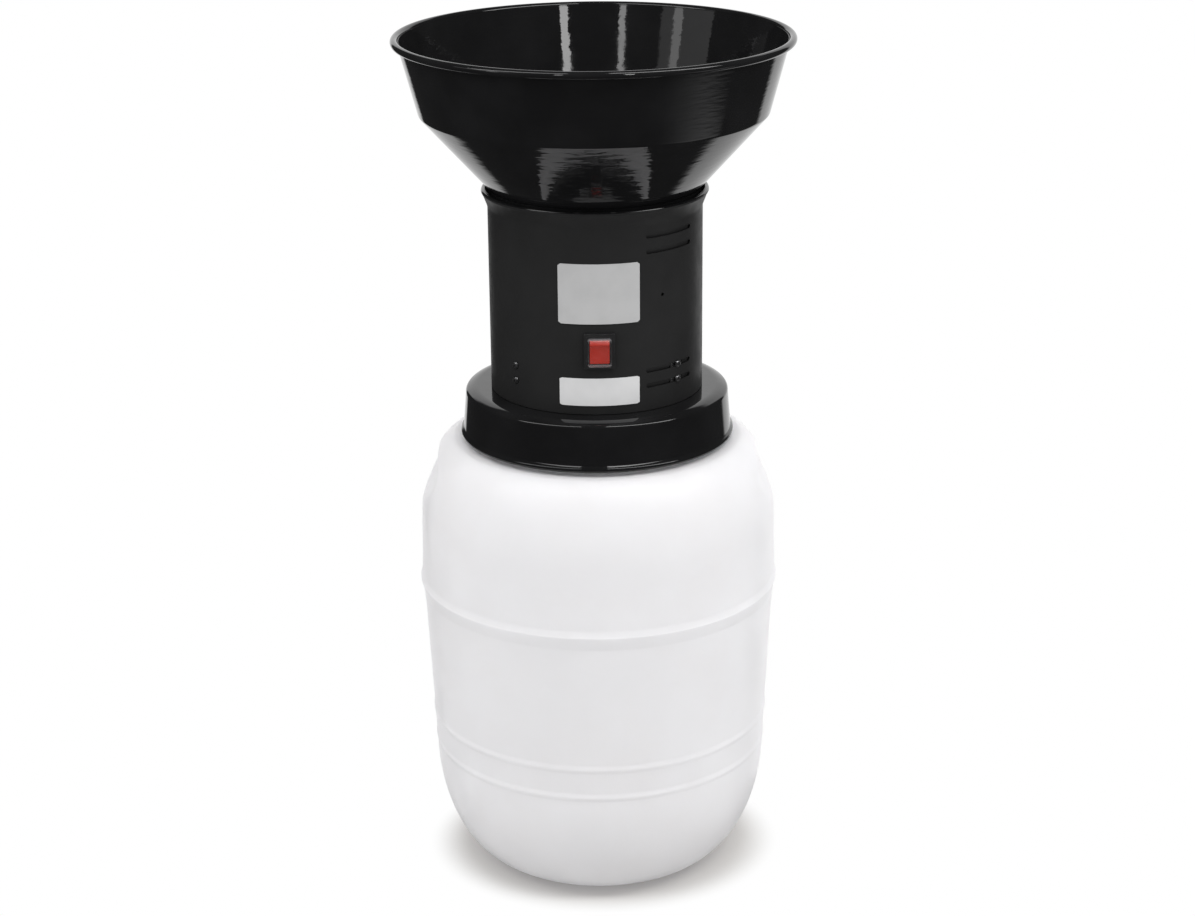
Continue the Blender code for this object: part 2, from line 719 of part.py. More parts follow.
def bracket_screw_places():
    return [(turn, height) for turn in BRACKET_TURNS for height in vent_rows(LOWER_VENT_HEIGHT)]


def build_brackets():
    half_width = BRACKET_WIDTH / 2
    back = math.sqrt(HOUSING_FLAT**2 - half_width**2) - GAP
    for number, turn in enumerate(BRACKET_TURNS, 1):
        front = back - BRACKET_SHEET
        toe = back - BRACKET_FOOT
        top = ON_LID + BRACKET_LEG
        sole = ON_LID + BRACKET_SHEET
        outline = [(toe, ON_LID), (back, ON_LID), (back, top), (front, top), (front, sole), (toe, sole)]
        bracket = extrude(f"housing_bracket_{number}", outline, BRACKET_WIDTH, "steel")
        # The outline is drawn in x and y, so it is stood up and then turned to face the wall.
        bracket.data.transform(Matrix.Rotation(math.pi / 2, 4, "X"))
        bracket.data.transform(Matrix.Translation((0, half_width, 0)))
        bracket.data.transform(Matrix.Rotation(turn - math.pi / 2, 4, "Z"))
        for row, height in enumerate(vent_rows(LOWER_VENT_HEIGHT), 1):
            name = f"bracket_{number}_screw_cutter_{row}"
            cutter = rod(name, BRACKET_SCREW_RADIUS + SCREW_CLEARANCE, 0, BRACKET_FOOT, steps=SCREW_STEPS)
            aim_out(cutter, turn, front - OVERRUN, height)
            cut(bracket, cutter)


def pan_screw(name, turn, height, reach):
    """Domed screw whose head lies on the housing and whose shank points inwards."""
    head = BRACKET_SCREW_HEAD_RADIUS
    rise = BRACKET_SCREW_HEAD_HEIGHT
    shoulder = rise / 2
    outline = [(0, rise), (head, shoulder), (head, 0)]
    outline += [(BRACKET_SCREW_RADIUS, 0), (BRACKET_SCREW_RADIUS, -reach), (0, -reach)]
    screw = lathe(name, outline, "steel", SCREW_STEPS)
    aim_out(screw, turn, HOUSING_RADIUS + GAP, height)


def build_screws():
    for number, (turn, height) in enumerate(bracket_screw_places(), 1):
        pan_screw(f"bracket_screw_{number}", turn, height, BRACKET_SCREW_REACH)
    for number, turn in enumerate(HOPPER_SCREW_TURNS, 1):
        pan_screw(f"hopper_screw_{number}", turn, HOPPER_SCREW_HEIGHT, HOPPER_SCREW_REACH)


# Hopper


def build_hopper():
    run = (HOPPER_BAND_RADIUS - HOPPER_THROAT_RADIUS) * HOPPER_CREASE_RUN_SHARE
    rise = (HOPPER_RIM_HEIGHT - HOPPER_THROAT_HEIGHT) * HOPPER_CREASE_RISE_SHARE
    crease_radius = HOPPER_THROAT_RADIUS + run
    crease_height = HOPPER_THROAT_HEIGHT + rise
    band_run = HOPPER_BAND_RADIUS - crease_radius
    band_rise = HOPPER_RIM_HEIGHT - crease_height
    share = HOPPER_CREASE_ROUND_SHARE
    outer = [
        (HOPPER_BAND_RADIUS, HOPPER_RIM_HEIGHT),
        (crease_radius + band_run * share, crease_height + band_rise * share),
        (crease_radius - run * share, crease_height - rise * share),
        (HOPPER_THROAT_RADIUS, HOPPER_THROAT_HEIGHT),
        (HOPPER_THROAT_RADIUS, HOPPER_THROAT_HEIGHT - HOPPER_SPIGOT_LENGTH),
    ]
    rim_radius = HOPPER_BAND_RADIUS + HOPPER_RIM_OVERHANG
    rim = bead(rim_radius, HOPPER_RIM_HEIGHT, HOPPER_BEAD_RADIUS, math.pi, HOPPER_BEAD_END, 8)
    inner = inset(outer, HOPPER_SHEET)
    hopper = lathe("hopper", rim + outer[1:] + inner[::-1], "black_enamel")
    hole = BRACKET_SCREW_RADIUS + SCREW_CLEARANCE
    for number, turn in enumerate(HOPPER_SCREW_TURNS, 1):
        cut(hopper, hole_cutter(f"spigot_hole_cutter_{number}", hole, turn, HOPPER_SCREW_HEIGHT))


def build_hopper_floor():
    disc = HOPPER_THROAT_RADIUS - HOPPER_SHEET - GAP
    pivot = GATE_PIVOT_RADIUS + RUNNING_GAP
    floor = tube("hopper_floor", disc, pivot, FLOOR_UNDERSIDE, FLOOR_TOP, "black_enamel")
    cut(floor, feed_cutter("floor_feed_cutter", FLOOR_UNDERSIDE - OVERRUN, FLOOR_TOP + OVERRUN))


def build_gate():
    """Fan-shaped plate on the hopper floor, shut over the passage, turning about the Z axis."""
    back = math.pi / 2
    outer = FEED_OUTER_RADIUS + GATE_OVERLAP
    outline = arc(outer, back - GATE_HALF_ANGLE, back + GATE_HALF_ANGLE, FEED_ARC_POINTS)
    hub_start = back + GATE_HALF_ANGLE
    outline += arc(GATE_HUB_RADIUS, hub_start, hub_start + 2 * (math.pi - GATE_HALF_ANGLE), SMALL_STEPS)
    gate = extrude("feed_gate", outline, GATE_SHEET, "black_enamel")
    gate.location.z = GATE_FOOT
    pivot = rod("gate_pivot_cutter", GATE_PIVOT_RADIUS + RUNNING_GAP, 0, GATE_SHEET + 2 * OVERRUN)
    pivot.location.z = GATE_FOOT - OVERRUN
    cut(gate, pivot)

    foot = GATE_TOP + GAP
    waist = foot + KNOB_HEIGHT / 3
    brow = foot + 2 * KNOB_HEIGHT / 3
    top = foot + KNOB_HEIGHT
    outline = [(0, top), (KNOB_WAIST, top), (KNOB_RADIUS, brow), (KNOB_WAIST, waist), (KNOB_WAIST, foot)]
    outline.append((0, foot))
    knob = lathe("gate_knob", outline, "black_plastic", SMALL_STEPS)
    knob.location = around(math.pi, KNOB_CENTRE_RADIUS)

    bolt_top = GATE_TOP + GAP + GATE_NUT_HEIGHT / 2
    underside = FLOOR_UNDERSIDE - GAP
    head = underside - GATE_PIVOT_HEAD_HEIGHT
    outline = [(0, bolt_top), (GATE_PIVOT_RADIUS, bolt_top), (GATE_PIVOT_RADIUS, underside)]
    outline += [(GATE_PIVOT_HEAD_RADIUS, underside), (GATE_PIVOT_HEAD_RADIUS, head), (0, head)]
    lathe("gate_pivot_bolt", outline, "steel", SMALL_STEPS)

    nut_foot = GATE_TOP + GAP
    nut_top = nut_foot + GATE_NUT_HEIGHT
    shoulder = nut_foot + GATE_NUT_HEIGHT / 2
    bore = GATE_PIVOT_RADIUS + GAP
    cap = bolt_top + GAP
    outline = [(0, nut_top), (GATE_NUT_RADIUS / 2, nut_top), (GATE_NUT_RADIUS, shoulder)]
    outline += [(GATE_NUT_RADIUS, nut_foot), (bore, nut_foot), (bore, cap), (0, cap)]
    lathe("gate_pivot_nut", outline, "steel", SMALL_STEPS)


def build_feed_duct():
    foot = ON_LID
    top = FLOOR_UNDERSIDE - GAP
    duct = extrude("feed_duct", feed_outline(DUCT_WALL), top - foot, "black_satin")
    duct.location.z = foot
    cut(duct, feed_cutter("duct_bore_cutter", foot - OVERRUN, top + OVERRUN))


# Motor


def motor_bolt_turns():
    return [MOTOR_BOLT_TURN + 2 * math.pi * number / MOTOR_BOLTS for number in range(MOTOR_BOLTS)]


def end_shield(name, plate_foot, upward):
    """Cast end cover with a bearing pocket. Its boss points into the motor."""
    pocket = BEARING_RADIUS + GAP
    bore = SHAFT_RADIUS + RUNNING_GAP + GAP
    sign = 1 if upward else -1
    outside = plate_foot if upward else plate_foot + SHIELD_PLATE
    inside = outside + sign * SHIELD_PLATE
    boss = outside + sign * SHIELD_BOSS_HEIGHT
    pocket_end = boss - sign * BEARING_WIDTH
    outline = [(bore, outside), (bore, pocket_end), (pocket, pocket_end), (pocket, boss)]
    outline += [(SHIELD_BOSS_RADIUS, boss), (SHIELD_BOSS_RADIUS, inside), (MOTOR_RADIUS, inside)]
    outline.append((MOTOR_RADIUS, outside))
    if not upward:
        outline.reverse()
    shield = lathe(name, outline, "aluminium", MIDDLE_STEPS)
    bearing_foot = min(boss, pocket_end) + GAP
    bearing_top = max(boss, pocket_end)
    return shield, bearing_foot, bearing_top


def build_motor():
    lower, bearing_foot, bearing_top = end_shield("end_shield_lower", ON_LID, True)
    bore = SHAFT_RADIUS + RUNNING_GAP
    tube("bearing_lower", BEARING_RADIUS, bore, bearing_foot, bearing_top, "steel", SMALL_STEPS)
    _, bearing_foot, bearing_top = end_shield("end_shield_upper", SHELL_TOP + GAP, False)
    tube("bearing_upper", BEARING_RADIUS, bore, bearing_foot - GAP, bearing_top - GAP, "steel", SMALL_STEPS)

    shell_bore = MOTOR_RADIUS - MOTOR_SHELL_WALL
    tube("motor_shell", MOTOR_RADIUS, shell_bore, SHELL_FOOT, SHELL_TOP, "black_satin", MIDDLE_STEPS)
    stator_top = STATOR_FOOT + STATOR_LENGTH
    tube("motor_stator", STATOR_RADIUS, STATOR_BORE, STATOR_FOOT, stator_top, "lamination", MIDDLE_STEPS)
    winding("winding_lower", STATOR_FOOT - GAP - WINDING_HEIGHT)
    winding("winding_upper", stator_top + GAP)

    hole = MOTOR_BOLT_RADIUS + SCREW_CLEARANCE
    head_top = LID_UNDERSIDE - GAP
    head_foot = head_top - MOTOR_BOLT_HEAD_HEIGHT
    for number, turn in enumerate(motor_bolt_turns(), 1):
        tip = ON_LID + MOTOR_BOLT_REACH
        socket = rod(f"shield_bolt_cutter_{number}", hole, ON_LID - OVERRUN, tip + GAP, steps=SCREW_STEPS)
        socket.location = around(turn, MOTOR_BOLT_CIRCLE)
        cut(lower, socket)
        outline = [(0, tip), (MOTOR_BOLT_RADIUS, tip), (MOTOR_BOLT_RADIUS, head_top)]
        outline += [(MOTOR_BOLT_HEAD_RADIUS, head_top), (MOTOR_BOLT_HEAD_RADIUS, head_foot), (0, head_foot)]
        bolt = lathe(f"motor_bolt_{number}", outline, "steel", SCREW_STEPS)
        bolt.location = around(turn, MOTOR_BOLT_CIRCLE)


def winding(name, foot):
    """Coil heads of the stator, a ring with rounded corners."""
    top = foot + WINDING_HEIGHT
    corner = WINDING_HEIGHT / 4
    outline = [(WINDING_INNER, top), (WINDING_OUTER - corner, top), (WINDING_OUTER, top - corner)]
    outline += [(WINDING_OUTER, foot + corner), (WINDING_OUTER - corner, foot), (WINDING_INNER, foot)]
    lathe(name, outline, "copper", MIDDLE_STEPS)


def build_rotor():
    """Everything on the shaft. It all turns about the Z axis."""
    blade_seat = BLADE_TOP + GAP
    tip = BLADE_HEIGHT - WASHER_HEIGHT - BLADE_NUT_HEIGHT - 2 * GAP
    collar_top = LID_UNDERSIDE - SEAL_HEIGHT - 2 * GAP
    end = FAN_FOOT + FAN_PLATE + FAN_BLADE_HEIGHT + SHAFT_OVERHANG
    outline = [(0, end), (SHAFT_RADIUS, end), (SHAFT_RADIUS, collar_top)]
    outline += [(SHAFT_COLLAR_RADIUS, collar_top), (SHAFT_COLLAR_RADIUS, blade_seat)]
    outline += [(SHAFT_END_RADIUS, blade_seat), (SHAFT_END_RADIUS, tip), (0, tip)]
    lathe("motor_shaft", outline, "steel", SMALL_STEPS)

    # The bore's flats are nearer the axis than its corners.
    core_radius = STATOR_BORE * math.cos(math.pi / MIDDLE_STEPS) - AIR_GAP
    core_bore = SHAFT_RADIUS + GAP
    foot = STATOR_FOOT - ROTOR_END_RING
    top = STATOR_FOOT + STATOR_LENGTH + ROTOR_END_RING
    tube("motor_rotor", core_radius, core_bore, foot, top, "lamination", MIDDLE_STEPS)
    build_fan()
    build_blade()

    bore = SHAFT_END_RADIUS + GAP
    washer_top = BLADE_HEIGHT - GAP
    washer_foot = washer_top - WASHER_HEIGHT
    tube("blade_washer", WASHER_RADIUS, bore, washer_foot, washer_top, "steel", SMALL_STEPS)
    nut_top = washer_foot - GAP
    hex_nut("blade_nut", BLADE_NUT_RADIUS, bore, nut_top - BLADE_NUT_HEIGHT, nut_top)


def build_fan():
    foot = FAN_FOOT
    plate_top = foot + FAN_PLATE
    top = plate_top + FAN_BLADE_HEIGHT
    bore = SHAFT_RADIUS + GAP
    outline = [(bore, top), (FAN_HUB_RADIUS, top), (FAN_HUB_RADIUS, plate_top), (FAN_RADIUS, plate_top)]
    outline += [(FAN_RADIUS, foot), (bore, foot)]
    fan = lathe("motor_fan", outline, "grey_plastic", MIDDLE_STEPS)
    root = FAN_HUB_RADIUS - FAN_BLADE_SHEET
    length = FAN_RADIUS - FAN_BLADE_SHEET - root
    sunk = FAN_PLATE / 2
    for number in range(FAN_BLADES):
        size = (length, FAN_BLADE_SHEET, FAN_BLADE_HEIGHT + sunk - GAP)
        centre = (root + length / 2, 0, plate_top - sunk + size[2] / 2)
        vane = box(f"fan_vane_{number + 1}", size, centre)
        vane.rotation_euler.z = 2 * math.pi * number / FAN_BLADES
        join(fan, vane)


def blade_section(along, lift, sharp_side):
    """Four corners across the bar. The leading edge on one side is ground to a wedge."""
    half = BLADE_WIDTH / 2
    foot = BLADE_HEIGHT + lift
    top = foot + BLADE_SHEET
    rear_top = half - BLADE_EDGE if sharp_side > 0 else half
    front_top = -half + BLADE_EDGE if sharp_side < 0 else -half
    return [(along, -half, foot), (along, half, foot), (along, rear_top, top), (along, front_top, top)]


def build_blade():
    """Beater bar with ground edges and turned-up tips, lofted through its sections."""
    middle = SHAFT_COLLAR_RADIUS
    sections = [
        (-BLADE_HALF_LENGTH, BLADE_TIP_RISE, -1),
        (-BLADE_BEND, 0, -1),
        (-BLADE_WIDTH, 0, -1),
        (-middle, 0, 0),
        (middle, 0, 0),
        (BLADE_WIDTH, 0, 1),
        (BLADE_BEND, 0, 1),
        (BLADE_HALF_LENGTH, BLADE_TIP_RISE, 1),
    ]
    mesh = bpy.data.meshes.new("blade")
    form = bmesh.new()
    rings = [[form.verts.new(corner) for corner in blade_section(*section)] for section in sections]
    for left, right in zip(rings, rings[1:]):
        for i in range(4):
            j = (i + 1) % 4
            form.faces.new((left[i], left[j], right[j], right[i]))
    form.faces.new(rings[0])
    form.faces.new(rings[-1])
    bmesh.ops.recalc_face_normals(form, faces=form.faces)
    form.to_mesh(mesh)
    form.free()
    blade = add_object("blade", mesh, "steel")
    bore = SHAFT_END_RADIUS + GAP
    cut(blade, rod("blade_bore_cutter", bore, BLADE_HEIGHT - OVERRUN, BLADE_TOP + OVERRUN))


def build_capacitor():
    top = ON_LID + CAPACITOR_HEIGHT
    crown = top - CAPACITOR_CROWN
    outline = [(0, top), (CAPACITOR_RADIUS - CAPACITOR_CROWN, top), (CAPACITOR_RADIUS, crown)]
    outline += [(CAPACITOR_RADIUS, ON_LID), (0, ON_LID)]
    capacitor = lathe("capacitor", outline, "grey_plastic", MIDDLE_STEPS)
    capacitor.location.x = CAPACITOR_X

    inner = CAPACITOR_RADIUS + GAP
    outer = inner + CLIP_SHEET
    clip_top = CLIP_HEIGHT + CLIP_WIDTH
    clip = tube("capacitor_clip", outer, inner, CLIP_HEIGHT, clip_top, "steel", MIDDLE_STEPS)
    clip.location.x = CAPACITOR_X
    start = CAPACITOR_X + inner + CLIP_SHEET / 2
    end = -MOTOR_RADIUS - GAP
    size = (end - start, CLIP_WIDTH, CLIP_WIDTH - 2 * GAP)
    join(clip, box("clip_tab", size, ((start + end) / 2, 0, CLIP_HEIGHT + CLIP_WIDTH / 2)))


# Grinding chamber


def build_sieve():
    inner = SIEVE_RADIUS - SIEVE_SHEET
    sieve = tube("sieve_ring", SIEVE_RADIUS, inner, SIEVE_FOOT, SIEVE_TOP, "steel", SIEVE_COLUMNS)
    pitch = (SIEVE_HEIGHT - 2 * SIEVE_MARGIN) / (SIEVE_ROWS - 1)
    step = 2 * math.pi / SIEVE_COLUMNS
    reach = SIEVE_SHEET + 2 * OVERRUN
    mesh = bpy.data.meshes.new("sieve_pins")
    form = bmesh.new()
    for row in range(SIEVE_ROWS):
        height = SIEVE_FOOT + SIEVE_MARGIN + pitch * row
        for column in range(SIEVE_COLUMNS):
            # Each hole is drilled in the middle of one facet of the ring.
            turn = step * (column + 1 / 2)
            place = Matrix.Translation(around(turn, SIEVE_RADIUS - SIEVE_SHEET / 2, height))
            aim = Matrix.Rotation(turn, 4, "Z") @ Matrix.Rotation(math.pi / 2, 4, "X")
            bmesh.ops.create_cone(
                form,
                cap_ends=True,
                segments=6,
                radius1=SIEVE_HOLE_RADIUS,
                radius2=SIEVE_HOLE_RADIUS,
                depth=reach,
                matrix=place @ aim,
            )
    form.to_mesh(mesh)
    form.free()
    cut(sieve, add_object("sieve_pins_cutter", mesh, None))


def build_chamber_floor():
    lip_inner = SIEVE_RADIUS + RUNNING_GAP
    lip_outer = lip_inner + CHAMBER_LIP_SHEET
    lip_top = CHAMBER_FLOOR_TOP + CHAMBER_LIP_HEIGHT
    outline = [(0, CHAMBER_FLOOR_TOP), (lip_inner, CHAMBER_FLOOR_TOP), (lip_inner, lip_top)]
    outline += [(lip_outer, lip_top), (lip_outer, CHAMBER_FLOOR_FOOT), (0, CHAMBER_FLOOR_FOOT)]
    floor = lathe("chamber_floor", outline, "steel")
    for number, turn in enumerate(STUD_TURNS, 1):
        ear = rod(f"ear_{number}", EAR_RADIUS, CHAMBER_FLOOR_FOOT, CHAMBER_FLOOR_TOP)
        ear.location = around(turn, STUD_CIRCLE)
        join(floor, ear)
    for number, turn in enumerate(STUD_TURNS, 1):
        hole = rod(
            f"ear_hole_cutter_{number}",
            STUD_RADIUS + SCREW_CLEARANCE,
            CHAMBER_FLOOR_FOOT - OVERRUN,
            CHAMBER_FLOOR_TOP + OVERRUN,
            steps=SCREW_STEPS,
        )
        hole.location = around(turn, STUD_CIRCLE)
        cut(floor, hole)


def build_studs():
    nut_top = CHAMBER_FLOOR_FOOT - GAP
    nut_foot = nut_top - WING_NUT_HEIGHT
    bore = STUD_RADIUS + GAP
    for number, turn in enumerate(STUD_TURNS, 1):
        foot = CHAMBER_FLOOR_FOOT - STUD_TAIL
        stud = rod(f"chamber_stud_{number}", STUD_RADIUS, foot, SIEVE_TOP, "steel", SCREW_STEPS)
        stud.location = around(turn, STUD_CIRCLE)

        nut = tube(f"wing_nut_{number}", WING_NUT_RADIUS, bore, nut_foot, nut_top, "steel", SCREW_STEPS)
        nut.location = around(turn, STUD_CIRCLE)
        nut.rotation_euler.z = turn
        for side, name in ((-1, "left"), (1, "right")):
            inner = side * (bore + GAP)
            outer = side * WING_LENGTH
            outline = [(inner, -WING_ROOT_TOP), (outer, -WING_TIP_TOP)]
            outline += [(outer, -WING_TIP_FOOT), (inner, -WING_ROOT_FOOT)]
            wing = extrude(f"wing_{number}_{name}", outline, WING_SHEET)
            wing.data.transform(Matrix.Rotation(math.pi / 2, 4, "X"))
            wing.data.transform(Matrix.Translation((0, WING_SHEET / 2, nut_top)))
            wing.location = nut.location
            wing.rotation_euler.z = turn
            join(nut, wing)


def build_seal():
    top = LID_UNDERSIDE - GAP
    bore = SHAFT_RADIUS + RUNNING_GAP
    tube("shaft_seal", SEAL_RADIUS, bore, top - SEAL_HEIGHT, top, "rubber", SMALL_STEPS)


# Switch and plates


def in_panel(obj):
    """Turn a piece of the front group a little towards +X, as it sits on the housing."""
    obj.rotation_euler.z = PANEL_TURN
    return obj


def panel_box(name, width, height, front, back, material=None):
    """Box on the front between two distances from the Z axis."""
    centre = (0, -(front + back) / 2, SWITCH_HEIGHT)
    return in_panel(box(name, (width, front - back, height), centre, material))


def build_switch_frame():
    seat = HOUSING_RADIUS + GAP
    back = math.sqrt(HOUSING_BORE**2 - (BEZEL_WIDTH / 2) ** 2)
    frame = panel_box("switch_frame", BEZEL_WIDTH, BEZEL_HEIGHT, BEZEL_FACE, back, "black_plastic")
    bevel(frame, BEZEL_ROUND)
    foot = SWITCH_HEIGHT - BEZEL_HEIGHT
    top = SWITCH_HEIGHT + BEZEL_HEIGHT
    cut(frame, rod("bezel_back_cutter", seat, foot, top, steps=2 * ROUND_STEPS))

    body_front = BEZEL_FACE - BEZEL_STAND / 2
    body_back = BEZEL_FACE - SWITCH_BODY_DEPTH
    join(frame, panel_box("switch_body", SWITCH_BODY_WIDTH, SWITCH_BODY_HEIGHT, body_front, body_back))
    well_front = BEZEL_FACE + OVERRUN
    well_back = BEZEL_FACE - SWITCH_WELL_DEPTH
    cut(frame, panel_box("switch_well_cutter", SWITCH_WELL_WIDTH, SWITCH_WELL_HEIGHT, well_front, well_back))
    pin_half = ROCKER_WIDTH / 2 + ROCKER_PIN_REACH + GAP
    cut(frame, rocker_pin("rocker_pin_cutter", ROCKER_PIN_RADIUS + GAP, pin_half))


def place_at_pivot(obj):
    obj.location = around(PANEL_TURN, ROCKER_PIVOT_RADIUS, SWITCH_HEIGHT)
    return in_panel(obj)


def rocker_pin(name, radius, half_length):
    pin = rod(name, radius, -half_length, half_length, steps=SCREW_STEPS)
    pin.data.transform(Matrix.Rotation(math.pi / 2, 4, "Y"))
    return place_at_pivot(pin)


def build_rocker():
    """Dished rocker, shown off: its top stands out and its foot is pressed in."""
    half = ROCKER_HEIGHT / 2
    heel = ROCKER_HEEL_HEIGHT / 2
    middle = ROCKER_REACH - ROCKER_DISH
    outline = [(-ROCKER_REACH, half), (-middle, 0), (-ROCKER_REACH, -half)]
    outline += [(0, -half), (ROCKER_HEEL, -heel), (ROCKER_HEEL, heel), (0, half)]
    rocker = extrude("switch_rocker", outline, ROCKER_WIDTH, "red_plastic")
    # The outline is drawn as (y, z), so its x and y axes are turned onto those.
    rocker.data.transform(Matrix(((0, 0, 1, 0), (1, 0, 0, 0), (0, 1, 0, 0), (0, 0, 0, 1))))
    rocker.data.transform(Matrix.Translation((-ROCKER_WIDTH / 2, 0, 0)))
    rocker.data.transform(Matrix.Rotation(ROCKER_TILT, 4, "X"))
    place_at_pivot(rocker)
    join(rocker, rocker_pin("rocker_pins", ROCKER_PIN_RADIUS, ROCKER_WIDTH / 2 + ROCKER_PIN_REACH))


def build_boot():
    """Clear splash cap over the rocker, open behind."""
    foot = BEZEL_FACE + GAP
    face = foot + BOOT_STAND
    boot = panel_box("switch_boot", BOOT_WIDTH, BOOT_HEIGHT, face, foot - 2 * BOOT_ROUND, "clear_boot")
    bevel(boot, BOOT_ROUND, 3)
    cut(boot, panel_box("boot_back_cutter", BEZEL_WIDTH, BEZEL_HEIGHT, foot, foot - 3 * BOOT_ROUND))
    width = BOOT_WIDTH - 2 * BOOT_WALL
    height = BOOT_HEIGHT - 2 * BOOT_WALL
    inside = panel_box("boot_inside_cutter", width, height, face - BOOT_WALL, foot - 2 * BOOT_ROUND)
    bevel(inside, BOOT_ROUND - BOOT_WALL)
    cut(boot, inside)


def build_plate(name, width, foot, height, material):
    """Thin plate bent round the front of the housing."""
    inner = HOUSING_RADIUS + GAP
    outer = inner + PLATE_SHEET
    half = width / 2 / outer
    front = -math.pi / 2
    outline = arc(outer, front - half, front + half, PLATE_ARC_POINTS)
    outline += arc(inner, front + half, front - half, PLATE_ARC_POINTS)
    plate = in_panel(extrude(name, outline, height, material))
    plate.location.z = foot


def build_gland():
    """Cord gland through the back of the housing, with its lock nut inside."""
    cap_end = GLAND_HEX_LENGTH + GLAND_CAP_LENGTH
    brow = cap_end - GLAND_CAP_LENGTH / 3
    mouth = (GLAND_CAP_RADIUS + GLAND_BORE) / 2
    outline = [(0, cap_end), (mouth, cap_end), (GLAND_CAP_RADIUS, brow), (GLAND_CAP_RADIUS, GAP)]
    outline += [(GLAND_THREAD_RADIUS, 0), (GLAND_THREAD_RADIUS, -GLAND_INSIDE_LENGTH)]
    outline.append((0, -GLAND_INSIDE_LENGTH))
    gland = lathe("cable_gland", outline, "black_plastic", SMALL_STEPS)
    collar = rod("gland_collar", GLAND_HEX_RADIUS, 0, GLAND_HEX_LENGTH, steps=6)
    bore = rod("gland_bore_cutter", GLAND_BORE, -GLAND_INSIDE_LENGTH - OVERRUN, cap_end + OVERRUN)
    for piece in (gland, collar, bore):
        aim_out(piece, GLAND_TURN, HOUSING_RADIUS + GAP, GLAND_HEIGHT)
    join(gland, collar)
    cut(gland, bore)

    seat = math.sqrt(HOUSING_FLAT**2 - GLAND_NUT_RADIUS**2) - GAP
    nut = rod("gland_lock_nut", GLAND_NUT_RADIUS, -GLAND_NUT_LENGTH, 0, "black_plastic", 6)
    hole = rod("lock_nut_cutter", GLAND_THREAD_RADIUS + GAP, -GLAND_NUT_LENGTH - OVERRUN, OVERRUN)
    for piece in (nut, hole):
        aim_out(piece, GLAND_TURN, seat, GLAND_HEIGHT)
    cut(nut, hole)


# Assembly


def group(name, prefixes, parent=None):
    """Hang the pieces that move together on an empty that stands on their joint's axis."""
    empty = bpy.data.objects.new(name, None)
    PARTS.objects.link(empty)
    empty.parent = parent
    for obj in PARTS.objects:
        if obj.type == "MESH" and obj.parent is None and obj.name.startswith(prefixes):
            obj.parent = empty
    return empty


ROTOR_PIECES = ("motor_shaft", "motor_rotor", "motor_fan", "blade")
GATE_PIECES = ("feed_gate", "gate_knob")

build_drum()
build_lid()
build_housing()
build_brackets()
build_screws()
build_hopper()
build_hopper_floor()
build_gate()
build_feed_duct()
build_motor()
build_rotor()
build_capacitor()
build_sieve()
build_chamber_floor()
build_studs()
build_seal()
build_switch_frame()
build_rocker()
build_boot()
build_plate("rating_plate", RATING_PLATE_WIDTH, RATING_PLATE_FOOT, RATING_PLATE_HEIGHT, "plate_silver")
build_plate("lower_plate", LOWER_PLATE_WIDTH, LOWER_PLATE_FOOT, LOWER_PLATE_HEIGHT, "plate_white")
build_gland()

head = bpy.data.objects.new("head_group", None)
PARTS.objects.link(head)
group("rotor_group", ROTOR_PIECES, head)
group("gate_group", GATE_PIECES, head)
for piece in PARTS.objects:
    if piece.type == "MESH" and piece.parent is None and piece.name != "drum":
        piece.parent = head
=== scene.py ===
"""Electric grain mill on a plastic storage drum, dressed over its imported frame.

Metres, +Z up, floor at z = 0, the drum's axis on the Z axis and the front towards -Y.
"""

import math

import bmesh
import bpy
from mathutils import Matrix, Vector


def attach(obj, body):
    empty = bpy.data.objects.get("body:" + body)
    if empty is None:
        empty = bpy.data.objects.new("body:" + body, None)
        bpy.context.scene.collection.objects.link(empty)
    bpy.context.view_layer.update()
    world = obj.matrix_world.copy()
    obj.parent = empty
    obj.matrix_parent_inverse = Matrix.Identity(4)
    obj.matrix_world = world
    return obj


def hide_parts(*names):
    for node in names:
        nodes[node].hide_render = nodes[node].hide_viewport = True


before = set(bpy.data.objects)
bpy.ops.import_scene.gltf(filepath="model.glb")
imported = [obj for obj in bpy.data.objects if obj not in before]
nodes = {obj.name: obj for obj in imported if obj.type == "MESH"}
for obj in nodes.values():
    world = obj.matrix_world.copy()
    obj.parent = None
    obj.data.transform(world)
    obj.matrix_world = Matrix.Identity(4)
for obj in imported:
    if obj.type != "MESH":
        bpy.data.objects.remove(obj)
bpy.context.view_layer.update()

ROUND = 192  # facets round a large piece
TURN = 2 * math.pi
TINY = 1e-6  # lengths below this count as none
GAP = 0.0003  # between a piece and what it stands on or holds


# Camera

CAMERA_PLACE = (0.0, -2.518, 1.3434)
CAMERA_PITCH = math.radians(90 - 19.545)
CAMERA_ROLL = math.radians(-0.55)

camera_data = bpy.data.cameras.new("camera")
camera_data.lens = 75.39
camera_data.sensor_width = 36
camera_data.sensor_fit = "HORIZONTAL"
camera_data.clip_end = 40
camera = bpy.data.objects.new("camera", camera_data)
camera.location = CAMERA_PLACE
tilt = Matrix.Rotation(CAMERA_PITCH, 4, "X") @ Matrix.Rotation(CAMERA_ROLL, 4, "Z")
camera.rotation_euler = tilt.to_euler()
bpy.context.scene.collection.objects.link(camera)
bpy.context.scene.camera = camera
bpy.context.scene.view_settings.view_transform = "Standard"


# Materials


